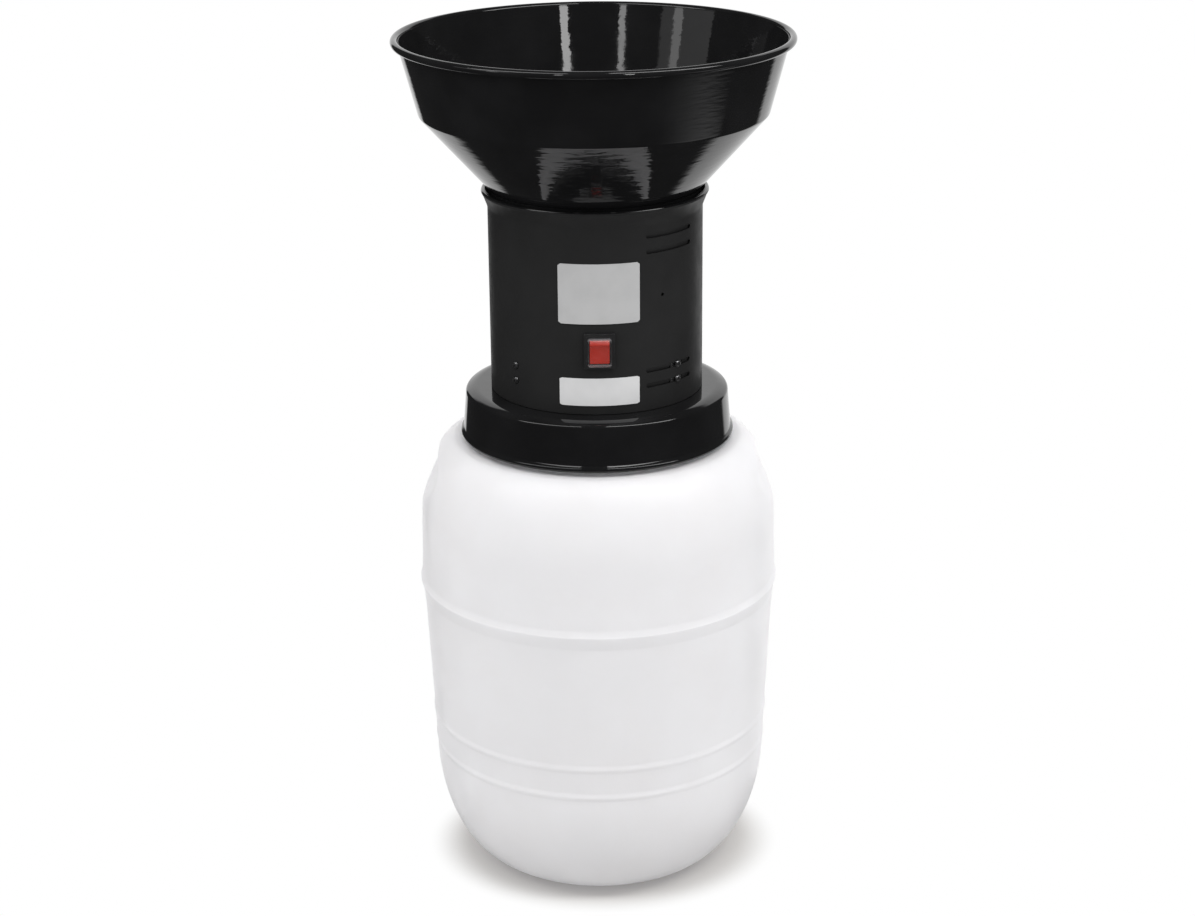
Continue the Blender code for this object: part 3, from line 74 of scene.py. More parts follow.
class Nodes:
    """Short forms for building a tree of nodes."""

    def __init__(self, tree):
        self.tree = tree

    def add(self, kind, **settings):
        node = self.tree.nodes.new(kind)
        for key, value in settings.items():
            setattr(node, key, value)
        return node

    def link(self, source, target):
        self.tree.links.new(source, target)

    def spread(self, value, low, high, to_low=0.0, to_high=1.0, easing="LINEAR"):
        """Carries the range between two limits over to another one, and stays within it."""
        node = self.add("ShaderNodeMapRange", interpolation_type=easing)
        limits = {"From Min": low, "From Max": high, "To Min": to_low, "To Max": to_high}
        for socket, number in limits.items():
            node.inputs[socket].default_value = number
        self.link(value, node.inputs["Value"])
        return node.outputs["Result"]

    def ramp(self, value, low, high):
        """0 up to the first limit, 1 from the second, eased between them."""
        return self.spread(value, low, high, easing="SMOOTHSTEP")

    def combine(self, operation, *values):
        """One value from several, by the same operation each time."""
        total = values[0]
        for value in values[1:]:
            node = self.add("ShaderNodeMath", operation=operation)
            self.link(total, node.inputs[0])
            self.link(value, node.inputs[1])
            total = node.outputs[0]
        return total

    def mixed(self, factor, first, second):
        """The first shader at a factor of 0, the second at 1."""
        node = self.add("ShaderNodeMixShader")
        for source, socket in zip((factor, first, second), node.inputs):
            self.link(source, socket)
        return node.outputs[0]


class Surface(Nodes):
    """Principled material whose colour, roughness and relief come from noise in the object's
    own space. The noise's scales count per metre, and depths of relief are in metres."""

    def __init__(self, name, colour, roughness, metallic=0.0, **sockets):
        self.material = bpy.data.materials.new(name)
        self.material.use_nodes = True
        super().__init__(self.material.node_tree)
        self.shader = self.tree.nodes["Principled BSDF"]
        self.colour = colour
        self.set("Base Color", (*colour, 1))
        self.set("Roughness", roughness)
        self.set("Metallic", metallic)
        for socket, value in sockets.items():
            self.set(socket.replace("_", " "), value)
        self.place = self.add("ShaderNodeTexCoord").outputs["Object"]
        self.relief = None

    def set(self, socket, value):
        self.shader.inputs[socket].default_value = value

    def stretched(self, scale):
        """The object's space, with its own scale along each axis."""
        mapping = self.add("ShaderNodeMapping")
        mapping.inputs["Scale"].default_value = scale
        self.link(self.place, mapping.inputs["Vector"])
        return mapping.outputs["Vector"]

    def noise(self, scale, detail, place=None):
        node = self.add("ShaderNodeTexNoise")
        node.inputs["Scale"].default_value = scale
        node.inputs["Detail"].default_value = detail
        self.link(place or self.place, node.inputs["Vector"])
        return node.outputs["Fac"]

    def level_bands(self, scale):
        """Wave whose bands lie level, one above another."""
        wave = self.add("ShaderNodeTexWave", wave_type="BANDS", bands_direction="Z")
        wave.inputs["Scale"].default_value = scale
        self.link(self.place, wave.inputs["Vector"])
        return wave

    def mottle(self, scale, other, low=0.4, high=0.7):
        """Patches of another colour over the base colour."""
        node = self.add("ShaderNodeMix", data_type="RGBA")
        self.link(self.spread(self.noise(scale, 4.0), low, high), node.inputs[0])
        node.inputs[6].default_value = (*self.colour, 1)
        node.inputs[7].default_value = (*other, 1)
        self.link(node.outputs[2], self.shader.inputs["Base Color"])

    def rough(self, scale, low, high, detail=4.0, place=None):
        """Roughness that wanders between two values."""
        patches = self.noise(scale, detail, place)
        self.link(self.spread(patches, 0.35, 0.65, low, high), self.shader.inputs["Roughness"])

    def bump(self, height, depth):
        """Relief, added to what is there so far."""
        node = self.add("ShaderNodeBump")
        node.inputs["Strength"].default_value = 1.0
        node.inputs["Distance"].default_value = depth
        self.link(height, node.inputs["Height"])
        if self.relief:
            self.link(self.relief, node.inputs["Normal"])
        self.relief = node.outputs["Normal"]
        self.link(self.relief, self.shader.inputs["Normal"])

    def grain(self, scale, depth, detail=2.0, place=None):
        self.bump(self.noise(scale, detail, place), depth)


def darker(colour, share):
    return tuple(value * share for value in colour)


def enamel(name, *marks):
    """Glossy stoved enamel on sheet steel: a faint orange peel over gentle waves in the sheet,
    and the marks of spinning or pressing, each stretched along its own direction."""
    made = Surface(name, (0.0046, 0.0046, 0.0048), 0.07, Specular_IOR_Level=0.42)
    made.mottle(18.0, (0.0066, 0.0066, 0.0069))
    made.rough(35.0, 0.03, 0.075)
    made.grain(22.0, 0.00016, 1.0)
    for stretch, depth in marks:
        made.grain(1.0, depth, 1.5, made.stretched(stretch))
    made.grain(150.0, 0.000022, 2.0)
    made.grain(520.0, 0.000004, 1.0)
    return made.material


def satin():
    """Fine-textured satin powder coat."""
    made = Surface("satin_coat", (0.0125, 0.0125, 0.0127), 0.48, Specular_IOR_Level=0.35)
    made.mottle(12.0, (0.0155, 0.0155, 0.0157))
    made.rough(60.0, 0.44, 0.53)
    made.grain(18.0, 0.0003, 1.0)
    made.grain(900.0, 0.000035)
    return made.material


def moulded(name, colour, roughness, grain=0.00003, **sockets):
    """Injection-moulded plastic with a fine spark-eroded grain."""
    made = Surface(name, colour, roughness, **sockets)
    made.mottle(45.0, darker(colour, 0.8), 0.45, 0.85)
    made.rough(120.0, roughness - 0.05, roughness + 0.07)
    made.grain(1400.0, grain, 3.0)
    return made.material


def metal(name, colour, roughness, brush=(1, 1, 1)):
    """Bare metal, brushed along the axis that the stretch leaves short."""
    made = Surface(name, colour, roughness, 1.0)
    lines = made.stretched(brush)
    made.mottle(25.0, darker(colour, 0.72), 0.4, 0.8)
    made.rough(420.0, roughness - 0.08, roughness + 0.12, 5.0, lines)
    made.grain(700.0, 0.00002, 4.0, lines)
    return made.material


def drum_plastic():
    """Blow-moulded milky polyethylene: light gets into it, and its skin is faintly uneven."""
    made = Surface("drum_polyethylene", (0.850, 0.848, 0.896), 0.40)
    made.set("Subsurface Weight", 0.75)
    made.set("Subsurface Radius", (0.95, 0.97, 1.0))
    made.set("Subsurface Scale", 0.016)
    made.mottle(9.0, (0.826, 0.815, 0.850), 0.4, 0.75)
    made.rough(28.0, 0.33, 0.48)
    made.grain(14.0, 0.0005)
    made.grain(420.0, 0.00005, 3.0)
    return made.material


def foil(name, colour, roughness, metallic):
    """Printed plate with nothing on it: a satin face with faint handling marks."""
    made = Surface(name, colour, roughness, metallic)
    made.mottle(55.0, darker(colour, 0.93), 0.4, 0.8)
    made.rough(240.0, roughness - 0.06, roughness + 0.08, 4.0, made.stretched((1, 1, 8)))
    made.grain(60.0, 0.00008, 2.0)
    made.grain(900.0, 0.000008, 2.0)
    return made.material


def clear_vinyl():
    """Soft clear splash cap: it shows the key inside, and clouds towards its edges."""
    made = Surface("clear_vinyl", (0.36, 0.34, 0.35), 0.16, Specular_IOR_Level=0.8)
    made.mottle(70.0, (0.28, 0.27, 0.28), 0.4, 0.75)
    made.rough(160.0, 0.10, 0.22)
    made.grain(260.0, 0.00006, 2.0)
    facing_away = made.add("ShaderNodeLayerWeight")
    facing_away.inputs["Blend"].default_value = 0.35
    clouded = made.spread(facing_away.outputs["Facing"], 0.10, 0.90, 0.01, 0.46)
    made.link(clouded, made.shader.inputs["Alpha"])
    return made.material


def copper_turns():
    """Lacquered copper wire, wound round the Z axis."""
    made = Surface("copper_turns", (0.62, 0.25, 0.11), 0.32, 0.9)
    made.mottle(90.0, (0.42, 0.14, 0.05), 0.4, 0.75)
    wave = made.level_bands(260.0)
    wave.inputs["Distortion"].default_value = 1.6
    wave.inputs["Detail"].default_value = 2.0
    made.bump(wave.outputs["Fac"], 0.0004)
    made.rough(150.0, 0.26, 0.44)
    return made.material


def laminated():
    """Stack of thin steel sheets, seen as fine level lines."""
    made = Surface("laminated_steel", (0.25, 0.26, 0.28), 0.42, 1.0)
    made.bump(made.level_bands(620.0).outputs["Fac"], 0.0001)
    made.mottle(80.0, (0.20, 0.14, 0.10), 0.55, 0.8)
    made.rough(90.0, 0.34, 0.52)
    return made.material


def cast_aluminium():
    made = Surface("cast_aluminium", (0.60, 0.61, 0.62), 0.45, 1.0)
    made.mottle(70.0, (0.46, 0.47, 0.48), 0.4, 0.75)
    made.rough(110.0, 0.36, 0.56)
    made.grain(480.0, 0.00012, 4.0)
    return made.material


def rubber():
    made = Surface("rubber", (0.020, 0.020, 0.021), 0.78)
    made.mottle(60.0, (0.034, 0.033, 0.032), 0.45, 0.8)
    made.rough(140.0, 0.70, 0.86)
    made.grain(800.0, 0.00006, 3.0)
    return made.material


MATERIALS = {
    "drum_plastic": drum_plastic(),
    "black_enamel": enamel("stove_enamel"),
    "spun_enamel": enamel("spun_enamel", ((30, 30, 200), 0.00012), ((75, 75, 330), 0.00006)),
    "hopper_enamel": enamel("hopper_enamel", ((26, 26, 130), 0.00015), ((80, 80, 300), 0.00008)),
    "pressed_enamel": enamel("pressed_enamel", ((110, 110, 8), 0.00004)),
    "black_satin": satin(),
    "black_plastic": moulded("black_moulding", (0.012, 0.012, 0.0125), 0.36),
    "red_plastic": moulded("red_moulding", (0.310, 0.011, 0.002), 0.34, 0.000012, Coat_Weight=0.3),
    "clear_boot": clear_vinyl(),
    "plate_silver": foil("silver_foil", (0.418, 0.418, 0.420), 0.40, 0.10),
    "plate_white": foil("white_foil", (0.548, 0.548, 0.552), 0.38, 0.0),
    "steel": metal("zinc_steel", (0.56, 0.565, 0.57), 0.30, (1, 1, 6)),
    "screw_steel": metal("blackened_steel", (0.26, 0.26, 0.265), 0.33),
    "aluminium": cast_aluminium(),
    "lamination": laminated(),
    "copper": copper_turns(),
    "rubber": rubber(),
    "grey_plastic": moulded("grey_moulding", (0.30, 0.31, 0.32), 0.46),
}


# Shapes

NEARLY_STRAIGHT = math.pi - 0.02
EDGE_SHARE = 0.48  # the most of an edge that the arc at one of its ends may take


def even(start, end, count):
    """Evenly spaced numbers from a start to an end, both included."""
    return [start + (end - start) * i / (count - 1) for i in range(count)]


def arc(centre, radius, start, end, points):
    """Points on a circle between two angles in degrees."""
    turns = map(math.radians, even(start, end, points))
    return [(centre[0] + radius * math.cos(t), centre[1] + radius * math.sin(t)) for t in turns]


def line_between(start, end, points):
    """Points after the start, up to the end."""
    return list(zip(even(start[0], end[0], points + 1), even(start[1], end[1], points + 1)))[1:]


def rounded(outline, radius=0.0, closed=True, steps=6):
    """Turns each corner into an arc. A point may carry its own radius as a third number."""
    line = []
    for i, point in enumerate(outline):
        size = point[2] if len(point) > 2 else radius
        corner = Vector(point[:2])
        if size <= 0 or (not closed and i in (0, len(outline) - 1)):
            line.append(tuple(corner))
            continue
        back = Vector(outline[i - 1][:2]) - corner
        ahead = Vector(outline[(i + 1) % len(outline)][:2]) - corner
        angle = back.angle(ahead)
        if angle > NEARLY_STRAIGHT:
            line.append(tuple(corner))
            continue
        reach = min(size / math.tan(angle / 2), back.length * EDGE_SHARE, ahead.length * EDGE_SHARE)
        size = reach * math.tan(angle / 2)
        back.normalize()
        ahead.normalize()
        centre = corner + (back + ahead).normalized() * (size / math.sin(angle / 2))
        first = corner + back * reach - centre
        last = corner + ahead * reach - centre
        sweep = first.angle(last)
        for k in range(steps + 1):
            t = k / steps
            spoke = (first * math.sin((1 - t) * sweep) + last * math.sin(t * sweep)) / math.sin(sweep)
            line.append(tuple(centre + spoke))
    return line


def inset(outline, distance):
    """Copy of a line that runs down an outer side, moved in by a distance."""
    normals = []
    for first, second in zip(outline, outline[1:]):
        run = Vector(second) - Vector(first)
        run.normalize()
        normals.append(Vector((run.y, -run.x)))
    moved = []
    for point, before, after in zip(outline, normals[:1] + normals, normals + normals[-1:]):
        moved.append(tuple(Vector(point) + (before + after) * distance / (1 + before.dot(after))))
    return moved


def rectangle(width, height):
    x, y = width / 2, height / 2
    return [(x, y), (-x, y), (-x, -y), (x, -y)]


def band(inner, outer, low, high):
    """Section of a ring, or half a section of a disc where its inner radius is 0."""
    return [(inner, low), (outer, low), (outer, high), (inner, high)]


def mark_sharp(form, angle=35.0):
    for edge in form.edges:
        if len(edge.link_faces) == 2 and edge.calc_face_angle() > math.radians(angle):
            edge.smooth = False


def object_from(name, form, material):
    """Object from a bmesh, which is used up."""
    mesh = bpy.data.meshes.new(name)
    form.to_mesh(mesh)
    form.free()
    obj = bpy.data.objects.new(name, mesh)
    bpy.context.scene.collection.objects.link(obj)
    if material:
        mesh.materials.append(MATERIALS[material])
    return obj


def finish_mesh(name, form, material, sharp=35.0):
    """Object from a bmesh, shaded smooth but for the edges sharper than an angle."""
    bmesh.ops.recalc_face_normals(form, faces=form.faces)
    for face in form.faces:
        face.smooth = True
    mark_sharp(form, sharp)
    return object_from(name, form, material)


def spin(name, outline, material=None, steps=ROUND, closed=True, sharp=35.0):
    """Solid of revolution about Z. An open outline starts and ends on the axis."""
    form = bmesh.new()
    turns = [TURN * i / steps for i in range(steps)]
    rings = []
    for radius, height in outline:
        if radius < TINY:
            rings.append([form.verts.new((0, 0, height))])
            continue
        rings.append([form.verts.new((radius * math.cos(t), radius * math.sin(t), height)) for t in turns])
    pairs = list(zip(rings, rings[1:]))
    if closed:
        pairs.append((rings[-1], rings[0]))
    for upper, lower in pairs:
        for i in range(steps):
            j = (i + 1) % steps
            corners = [upper[i % len(upper)], upper[j % len(upper)]]
            corners += [lower[j % len(lower)], lower[i % len(lower)]]
            corners = list(dict.fromkeys(corners))
            if len(corners) > 2:
                form.faces.new(corners)
    return finish_mesh(name, form, material, sharp)


def pin(radius, low, high, steps=32):
    """Round peg on the Z axis, mostly to cut a hole."""
    return spin("pin", band(0, radius, low, high), steps=steps, closed=False)


def prism(name, outline, low, high, material=None, edge=0.0):
    """Outline in X and Y between two heights, its rim edges rounded off."""
    form = bmesh.new()
    floor = [form.verts.new((x, y, low)) for x, y in outline]
    roof = [form.verts.new((x, y, high)) for x, y in outline]
    form.faces.new(floor[::-1])
    form.faces.new(roof)
    for i in range(len(outline)):
        j = (i + 1) % len(outline)
        form.faces.new((floor[i], floor[j], roof[j], roof[i]))
    if edge:
        rims = [e for e in form.edges if abs(e.verts[0].co.z - e.verts[1].co.z) < TINY]
        bmesh.ops.bevel(form, geom=rims, offset=edge, segments=3, affect="EDGES", profile=0.5)
    return finish_mesh(name, form, material)


def loft(name, sections, material=None, sharp=35.0):
    """Solid through a row of sections that all have the same number of points."""
    form = bmesh.new()
    rings = [[form.verts.new(point) for point in section] for section in sections]
    for left, right in zip(rings, rings[1:]):
        for k in range(len(left)):
            form.faces.new((left[k], left[k - 1], right[k - 1], right[k]))
    form.faces.new(rings[0])
    form.faces.new(rings[-1])
    return finish_mesh(name, form, material, sharp)


def move(obj, matrix):
    obj.data.transform(matrix)
    return obj


def merge(name, pieces, material=None):
    """One object from several, each kept as its own shell."""
    form = bmesh.new()
    for piece in pieces:
        form.from_mesh(piece.data)
        bpy.data.objects.remove(piece)
    return object_from(name, form, material)


def carve(obj, cutters, operation="DIFFERENCE"):
    """Takes the cutters out of a piece, joins them to it or keeps what both hold."""
    cutter = merge(obj.name + "_cutter", cutters)
    modifier = obj.modifiers.new("carve", "BOOLEAN")
    modifier.operation = operation
    modifier.solver = "EXACT"
    modifier.object = cutter
    graph = bpy.context.evaluated_depsgraph_get()
    result = bpy.data.meshes.new_from_object(obj.evaluated_get(graph))
    obj.modifiers.clear()
    obj.data = result
    bpy.data.objects.remove(cutter)
    form = bmesh.new()
    form.from_mesh(result)
    mark_sharp(form)
    form.to_mesh(result)
    form.free()
    return obj


def soften(obj, width, angle=50.0):
    """Rounds the sharp edges of a finished piece."""
    modifier = obj.modifiers.new("soften", "BEVEL")
    modifier.width = width
    modifier.segments = 2
    modifier.limit_method = "ANGLE"
    modifier.angle_limit = math.radians(angle)
    modifier.harden_normals = True
    return obj


def paint(obj, material, chosen):
    """Gives a second material to the faces that a test chooses."""
    obj.data.materials.append(MATERIALS[material])
    for face in obj.data.polygons:
        face.material_index = int(chosen(face))


def from_axis(face):
    return math.hypot(face.center.x, face.center.y)


def around(turn, radius, height=0.0):
    """Shift to a place round the Z axis. The turn is counted from the front to +X."""
    return Matrix.Translation((radius * math.sin(turn), -radius * math.cos(turn), height))


def swung(outline, turn):
    """Points of an outline in radius and height, swung round the Z axis."""
    return [(radius * math.sin(turn), -radius * math.cos(turn), height) for radius, height in outline]


def facing(turn, radius, height):
    """Frame on the housing whose +Z points straight out."""
    place = around(turn, radius, height)
    return place @ Matrix.Rotation(turn, 4, "Z") @ Matrix.Rotation(math.pi / 2, 4, "X")


def dress(obj, body, *replaced):
    """Hands a piece to its body, in place of the nodes that it stands for."""
    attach(obj, body)
    if replaced:
        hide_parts(*replaced)
    return obj


# Storage drum. Its outlines are in radius and height.

DRUM_WALL = 0.003
DRUM_STEPS = 288
NECK_RADIUS = 0.1325
NECK_TOP = 0.5332
LIP_RADIUS = 0.0012
SHOULDER_TOP = 0.479

# The side below the crease is straight through these two points
SIDE_LOW = (0.1795, 0.133)
SIDE_HIGH = (0.1882, 0.313)

RIDGE_TALL = 0.011
RIDGE_DEPTH = 0.00092
RIDGE_FEET = (0.1645, 0.1315)

# The grips are two flats in the shoulder, upright down to GRIP_BEND and sloping out below it
GRIP_X = 0.1688
GRIP_BEND = 0.443
GRIP_SLOPE = 0.0187 / 0.033
GRIP_LOW = 0.395
GRIP_HIGH = 0.4785
GRIP_LEAST_X = 0.15


def superellipse(centre, reach, roundness, start, end, points):
    outline = []
    for angle in map(math.radians, even(start, end, points)):
        across = abs(math.cos(angle)) ** (2 / roundness)
        upward = math.copysign(abs(math.sin(angle)) ** (2 / roundness), math.sin(angle))
        outline.append((centre[0] + reach[0] * across, centre[1] + reach[1] * upward))
    return outline


def drum_side(height):
    run = SIDE_HIGH[1] - SIDE_LOW[1]
    return SIDE_LOW[0] + (SIDE_HIGH[0] - SIDE_LOW[0]) * (height - SIDE_LOW[1]) / run


def ridge(low):
    """Low rounded ridge, from its top to its foot."""
    outline = []
    for share in even(1, 0, 15):
        height = low + RIDGE_TALL * share
        outline.append((drum_side(height) + RIDGE_DEPTH / 2 * (1 - math.cos(TURN * share)), height))
    return outline


def drum_outside():
    """Outer line from the neck's foot down to the drum's foot."""
    corner = 0.004
    outline = arc((NECK_RADIUS + corner, SHOULDER_TOP + corner), corner, 180, 270, 9)
    outline += line_between(outline[-1], (0.150, SHOULDER_TOP), 4)
    outline += superellipse((0.150, 0.398), (0.0383, 0.081), 1.80, 90, 0, 44)[1:]
    crease = [outline[-1], (0.1900, 0.3300, 0.012), (0.1920, 0.3229, 0.0030)]
    crease += [(0.1886, 0.3085, 0.014), (drum_side(0.285), 0.285)]
    outline += rounded(crease, closed=False, steps=10)[1:]
    upper, lower = RIDGE_FEET
    outline += line_between(outline[-1], (drum_side(0.176), 0.176), 10)
    outline += ridge(upper)
    outline += line_between(outline[-1], (drum_side(0.1430), 0.1430), 3)
    outline += ridge(lower)[:-1]
    outline += superellipse((0.110, lower), (0.06943, lower), 1.93, 0, -90, 44)
    return outline


def soft_least(first, second, blend):
    """The lesser of two lengths, with the corner between them rounded."""
    gap = max(-40.0, min(40.0, (first - second) / blend))
    return first - blend * math.log1p(math.exp(gap))


def press_grips(drum, first_inner):
    """Flattens the shoulder at both grips. The inner skin follows, a wall's thickness inside."""
    for vert in drum.data.vertices:
        x, _, z = vert.co
        if z < GRIP_LOW or z > GRIP_HIGH or abs(x) < GRIP_LEAST_X:
            continue
        slope = GRIP_X + (GRIP_BEND - z) * GRIP_SLOPE
        limit = -soft_least(-GRIP_X, -slope, 0.0010)
        limit -= DRUM_WALL if vert.index >= first_inner else 0
        vert.co.x = math.copysign(soft_least(abs(x), limit, 0.0007), x)


def build_drum():
    outside = [(NECK_RADIUS, NECK_TOP - LIP_RADIUS), (NECK_RADIUS, 0.51)] + drum_outside()
    inside = [point for point in inset(outside, DRUM_WALL) if point[1] > 0.0085 and point[0] > 0.09]
    foot = [(0.110, 0.0), (0.096, 0.0, 0.002), (0.091, 0.005, 0.003), (0, 0.005)]
    foot = rounded(foot, closed=False)
    middle = NECK_RADIUS - DRUM_WALL / 2
    widen = DRUM_WALL / 2 / LIP_RADIUS
    lip = arc((middle, NECK_TOP - LIP_RADIUS), LIP_RADIUS, 0, 180, 9)
    lip = [(middle + (x - middle) * widen, z) for x, z in lip]
    outline = foot[::-1][:-1] + outside[::-1] + lip[1:-1] + inside + [(0.085, 0.008), (0, 0.008)]
    drum = spin("storage_drum", outline, "drum_plastic", DRUM_STEPS, closed=False, sharp=60)
    rings_outside = len(foot) - 1 + len(outside) + len(lip) - 2
    press_grips(drum, 1 + DRUM_STEPS * (rings_outside - 1))
    return dress(drum, "drum", "drum")


build_drum()


# Feed passage, which runs through the lid, the hopper floor and the duct

KIDNEY = arc((0, 0), 0.100, 65, 115, 25) + arc((0, 0), 0.070, 115, 65, 19)


# Lid

LID_TOP = 0.535
LID_SHEET = 0.0015
LID_BORE = 0.0086
LID_CUT = (0.530, 0.540)
MOTOR_BOLT_TURNS = tuple(math.radians(turn) for turn in (23, 143, 263))


def build_lid():
    roll_centre, roll_radius = (0.1245, 0.511), 0.024
    roll = arc(roll_centre, roll_radius, 90, 69, 12)
    shoulder = [roll[-1], (0.1381, 0.5312, 0.0042), (0.1386, 0.522)]
    shoulder = rounded(shoulder, closed=False, steps=10)
    outer = [(LID_BORE, LID_TOP)]
    outer += line_between(outer[0], roll[0], 10) + roll[1:] + shoulder[1:-1]
    outer += line_between(outer[-1], (0.14135, 0.4905), 6)
    outer += arc((0.1412, 0.4864), 0.003, 62, -90, 15)
    under = arc(roll_centre, roll_radius - LID_SHEET, 69, 90, 6) + [(LID_BORE, LID_TOP - LID_SHEET)]
    inner = rounded([(0.1397, 0.4895), (0.1366, 0.5303, 0.0025)] + under, closed=False)
    lid = spin("lid_cover", outer + [(0.1397, 0.4834)] + inner, "pressed_enamel")
    cutters = [prism("kidney", KIDNEY, *LID_CUT)]
    cutters += [move(pin(0.0027, *LID_CUT), around(turn, 0.044)) for turn in MOTOR_BOLT_TURNS]
    carve(lid, cutters)
    return dress(lid, "head", "lid")


build_lid()


# Motor housing

HOUSING_RADIUS = 0.111
HOUSING_BORE = 0.1098
ON_HOUSING = HOUSING_RADIUS + GAP
HOUSING_FOOT = 0.5353
BEAD_LOW = 0.7452
BEAD_INSIDE = 0.1125
PANEL_TURN = math.radians(1.6)
SWITCH_HEIGHT = 0.603
VENT_TURNS = (math.radians(43.3), math.radians(43.3) + math.pi)
VENT_HEIGHTS = (0.7178, 0.7018, 0.5777, 0.5617)
SLOT_RADIUS = 0.0025
SLOT_HALF_TURN = math.radians(16.3)
BRACKET_TURNS = tuple(math.radians(turn) for turn in (-48, 48, 132, 228))
BRACKET_HEIGHTS = (0.5777, 0.5617)
HOPPER_SCREW_TURNS = tuple(math.radians(turn) for turn in (105, 180, 255))
HOPPER_SCREW_HEIGHT = 0.7256
SCREW_HOLE = 0.00205
GLAND_TURN = math.radians(140)
GLAND_HEIGHT = 0.612
CUT_DEPTHS = (-0.012, 0.006)  # of slots and windows, from the housing's face


def slot_cutter(turn, height):
    half = HOUSING_RADIUS * math.sin(SLOT_HALF_TURN) - SLOT_RADIUS
    outline = arc((half, 0), SLOT_RADIUS, -90, 90, 9) + arc((-half, 0), SLOT_RADIUS, 90, 270, 9)
    return move(prism("slot", outline, *CUT_DEPTHS), facing(turn, HOUSING_RADIUS, height))


def louvre(start, end, height):
    """Flap behind a slot: it hangs from the slot's upper edge and leans into the housing."""
    outline = [(0.1104, 0.0031), (0.1102, 0.0025), (0.1080, -0.0036), (0.1072, -0.0036), (0.1094, 0.0031)]
    outline = [(radius, height + z) for radius, z in outline]
    return loft("louvre", [swung(outline, turn) for turn in even(start, end, 17)])


def drill(turn, height, radius=SCREW_HOLE):
    return move(pin(radius, -0.006, 0.004, 24), facing(turn, HOUSING_RADIUS, height))


def build_housing():
    lip = arc((0.1145, 0.7445), 0.0027, 90, -55, 15)
    flare = [lip[-1], (HOUSING_RADIUS, 0.729, 0.012), (HOUSING_RADIUS, 0.71)]
    outer = lip + rounded(flare, closed=False)[1:]
    outer += line_between(outer[-1], (HOUSING_RADIUS, HOUSING_FOOT + 0.0004), 44)
    outer += [(HOUSING_RADIUS - 0.0004, HOUSING_FOOT), (HOUSING_BORE, HOUSING_FOOT)]
    inner = line_between(outer[-1], (HOUSING_BORE, 0.726), 44)
    inner += [(0.1104, 0.734), (0.1133, 0.7445), (0.1133, 0.7468)]
    housing = spin("motor_housing", outer + inner, "black_satin", sharp=50)

    cutters = [slot_cutter(turn, height) for height in VENT_HEIGHTS for turn in VENT_TURNS]
    # The screws of brackets 2 and 4 pass through slots, so only the others need holes
    cutters += [drill(turn, height) for turn in BRACKET_TURNS[::2] for height in BRACKET_HEIGHTS]
    cutters += [drill(turn, HOPPER_SCREW_HEIGHT) for turn in HOPPER_SCREW_TURNS]
    cutters.append(drill(math.radians(37.2), 0.655, 0.0018))
    cutters.append(drill(GLAND_TURN, GLAND_HEIGHT, 0.0078))
    window = prism("window", rectangle(0.0278, 0.0328), *CUT_DEPTHS)
    cutters.append(move(window, facing(PANEL_TURN, HOUSING_RADIUS, SWITCH_HEIGHT)))
    carve(housing, cutters)

    flaps = []
    for height in VENT_HEIGHTS:
        # The lower flaps leave a gap where the screws pass
        spans = ((-20, 20),) if height > SWITCH_HEIGHT else ((-20, -0.3), (9.4, 20))
        for first, last in spans:
            for turn in VENT_TURNS:
                flaps.append(louvre(turn + math.radians(first), turn + math.radians(last), height))
    housing = merge("motor_housing", [housing] + flaps, "black_satin")
    paint(housing, "black_enamel", lambda face: face.center.z > BEAD_LOW and from_axis(face) > BEAD_INSIDE)
    return dress(housing, "head", "housing")


build_housing()


# Hopper and feed gate

HOPPER_SHEET = 0.0015
CONE_FOOT = 0.75
FLOOR_TOP = 0.745
FLOOR_CUT = (0.738, 0.750)
GATE_HALF_TURN = 29
ON_GATE = 0.7476
KNOB_REACH = 0.056


def inside_hopper(face):
    outward = face.center.x * face.normal.x + face.center.y * face.normal.y
    return face.center.z > CONE_FOOT and outward < -0.01


def build_hopper():
    rim = arc((0.201, 0.899), 0.004, 180, -140, 33)
    outer = [(0.1976, 0.8955), (0.17917, 0.8254, 0.006), (0.1097, 0.7482, 0.002), (0.1097, 0.7217)]
    outer = rounded(outer, closed=False, steps=8)[1:]
    inner = inset([(0.1978, 0.899)] + outer, HOPPER_SHEET)
    hopper = spin("feed_hopper", rim + outer + inner[::-1], "spun_enamel")
    paint(hopper, "hopper_enamel", inside_hopper)
    carve(hopper, [drill(turn, HOPPER_SCREW_HEIGHT) for turn in HOPPER_SCREW_TURNS])
    return dress(hopper, "head", "hopper")


def build_hopper_floor():
    section = rounded(band(0.0034, 0.1077, 0.743, FLOOR_TOP), 0.0003, steps=3)
    disc = spin("hopper_base", section, "black_enamel")
    carve(disc, [prism("kidney", KIDNEY, *FLOOR_CUT)])
    return dress(disc, "head", "hopper_floor")


def build_gate():
    """Fan that covers the passage, and the knob on it."""
    start, end = 90 - GATE_HALF_TURN, 90 + GATE_HALF_TURN
    rim = arc((0, 0), 0.104, start, end, 33)
    hub = arc((0, 0), 0.016, end + 50, start - 50 + 360, 41)
    fan = rounded([rim[0] + (0.003,)] + rim[1:-1] + [rim[-1] + (0.003,)] + hub)
    gate = prism("gate_plate", fan, FLOOR_TOP + GAP, FLOOR_TOP + GAP + 0.002, "black_enamel", 0.0004)
    carve(gate, [pin(0.0034, *FLOOR_CUT)])
    dress(gate, "gate", "feed_gate")

    outline = [(0, 0.014), (0.0068, 0.014, 0.0015), (0.009, 0.0098, 0.0030)]
    outline += [(0.006, 0.0042, 0.003), (0.0063, 0, 0.0003), (0, 0)]
    knob = spin("gate_grip", rounded(outline, closed=False), "black_plastic", 64, closed=False)
    move(knob, Matrix.Translation((0, KNOB_REACH, ON_GATE)))
    return dress(knob, "gate", "gate_knob")


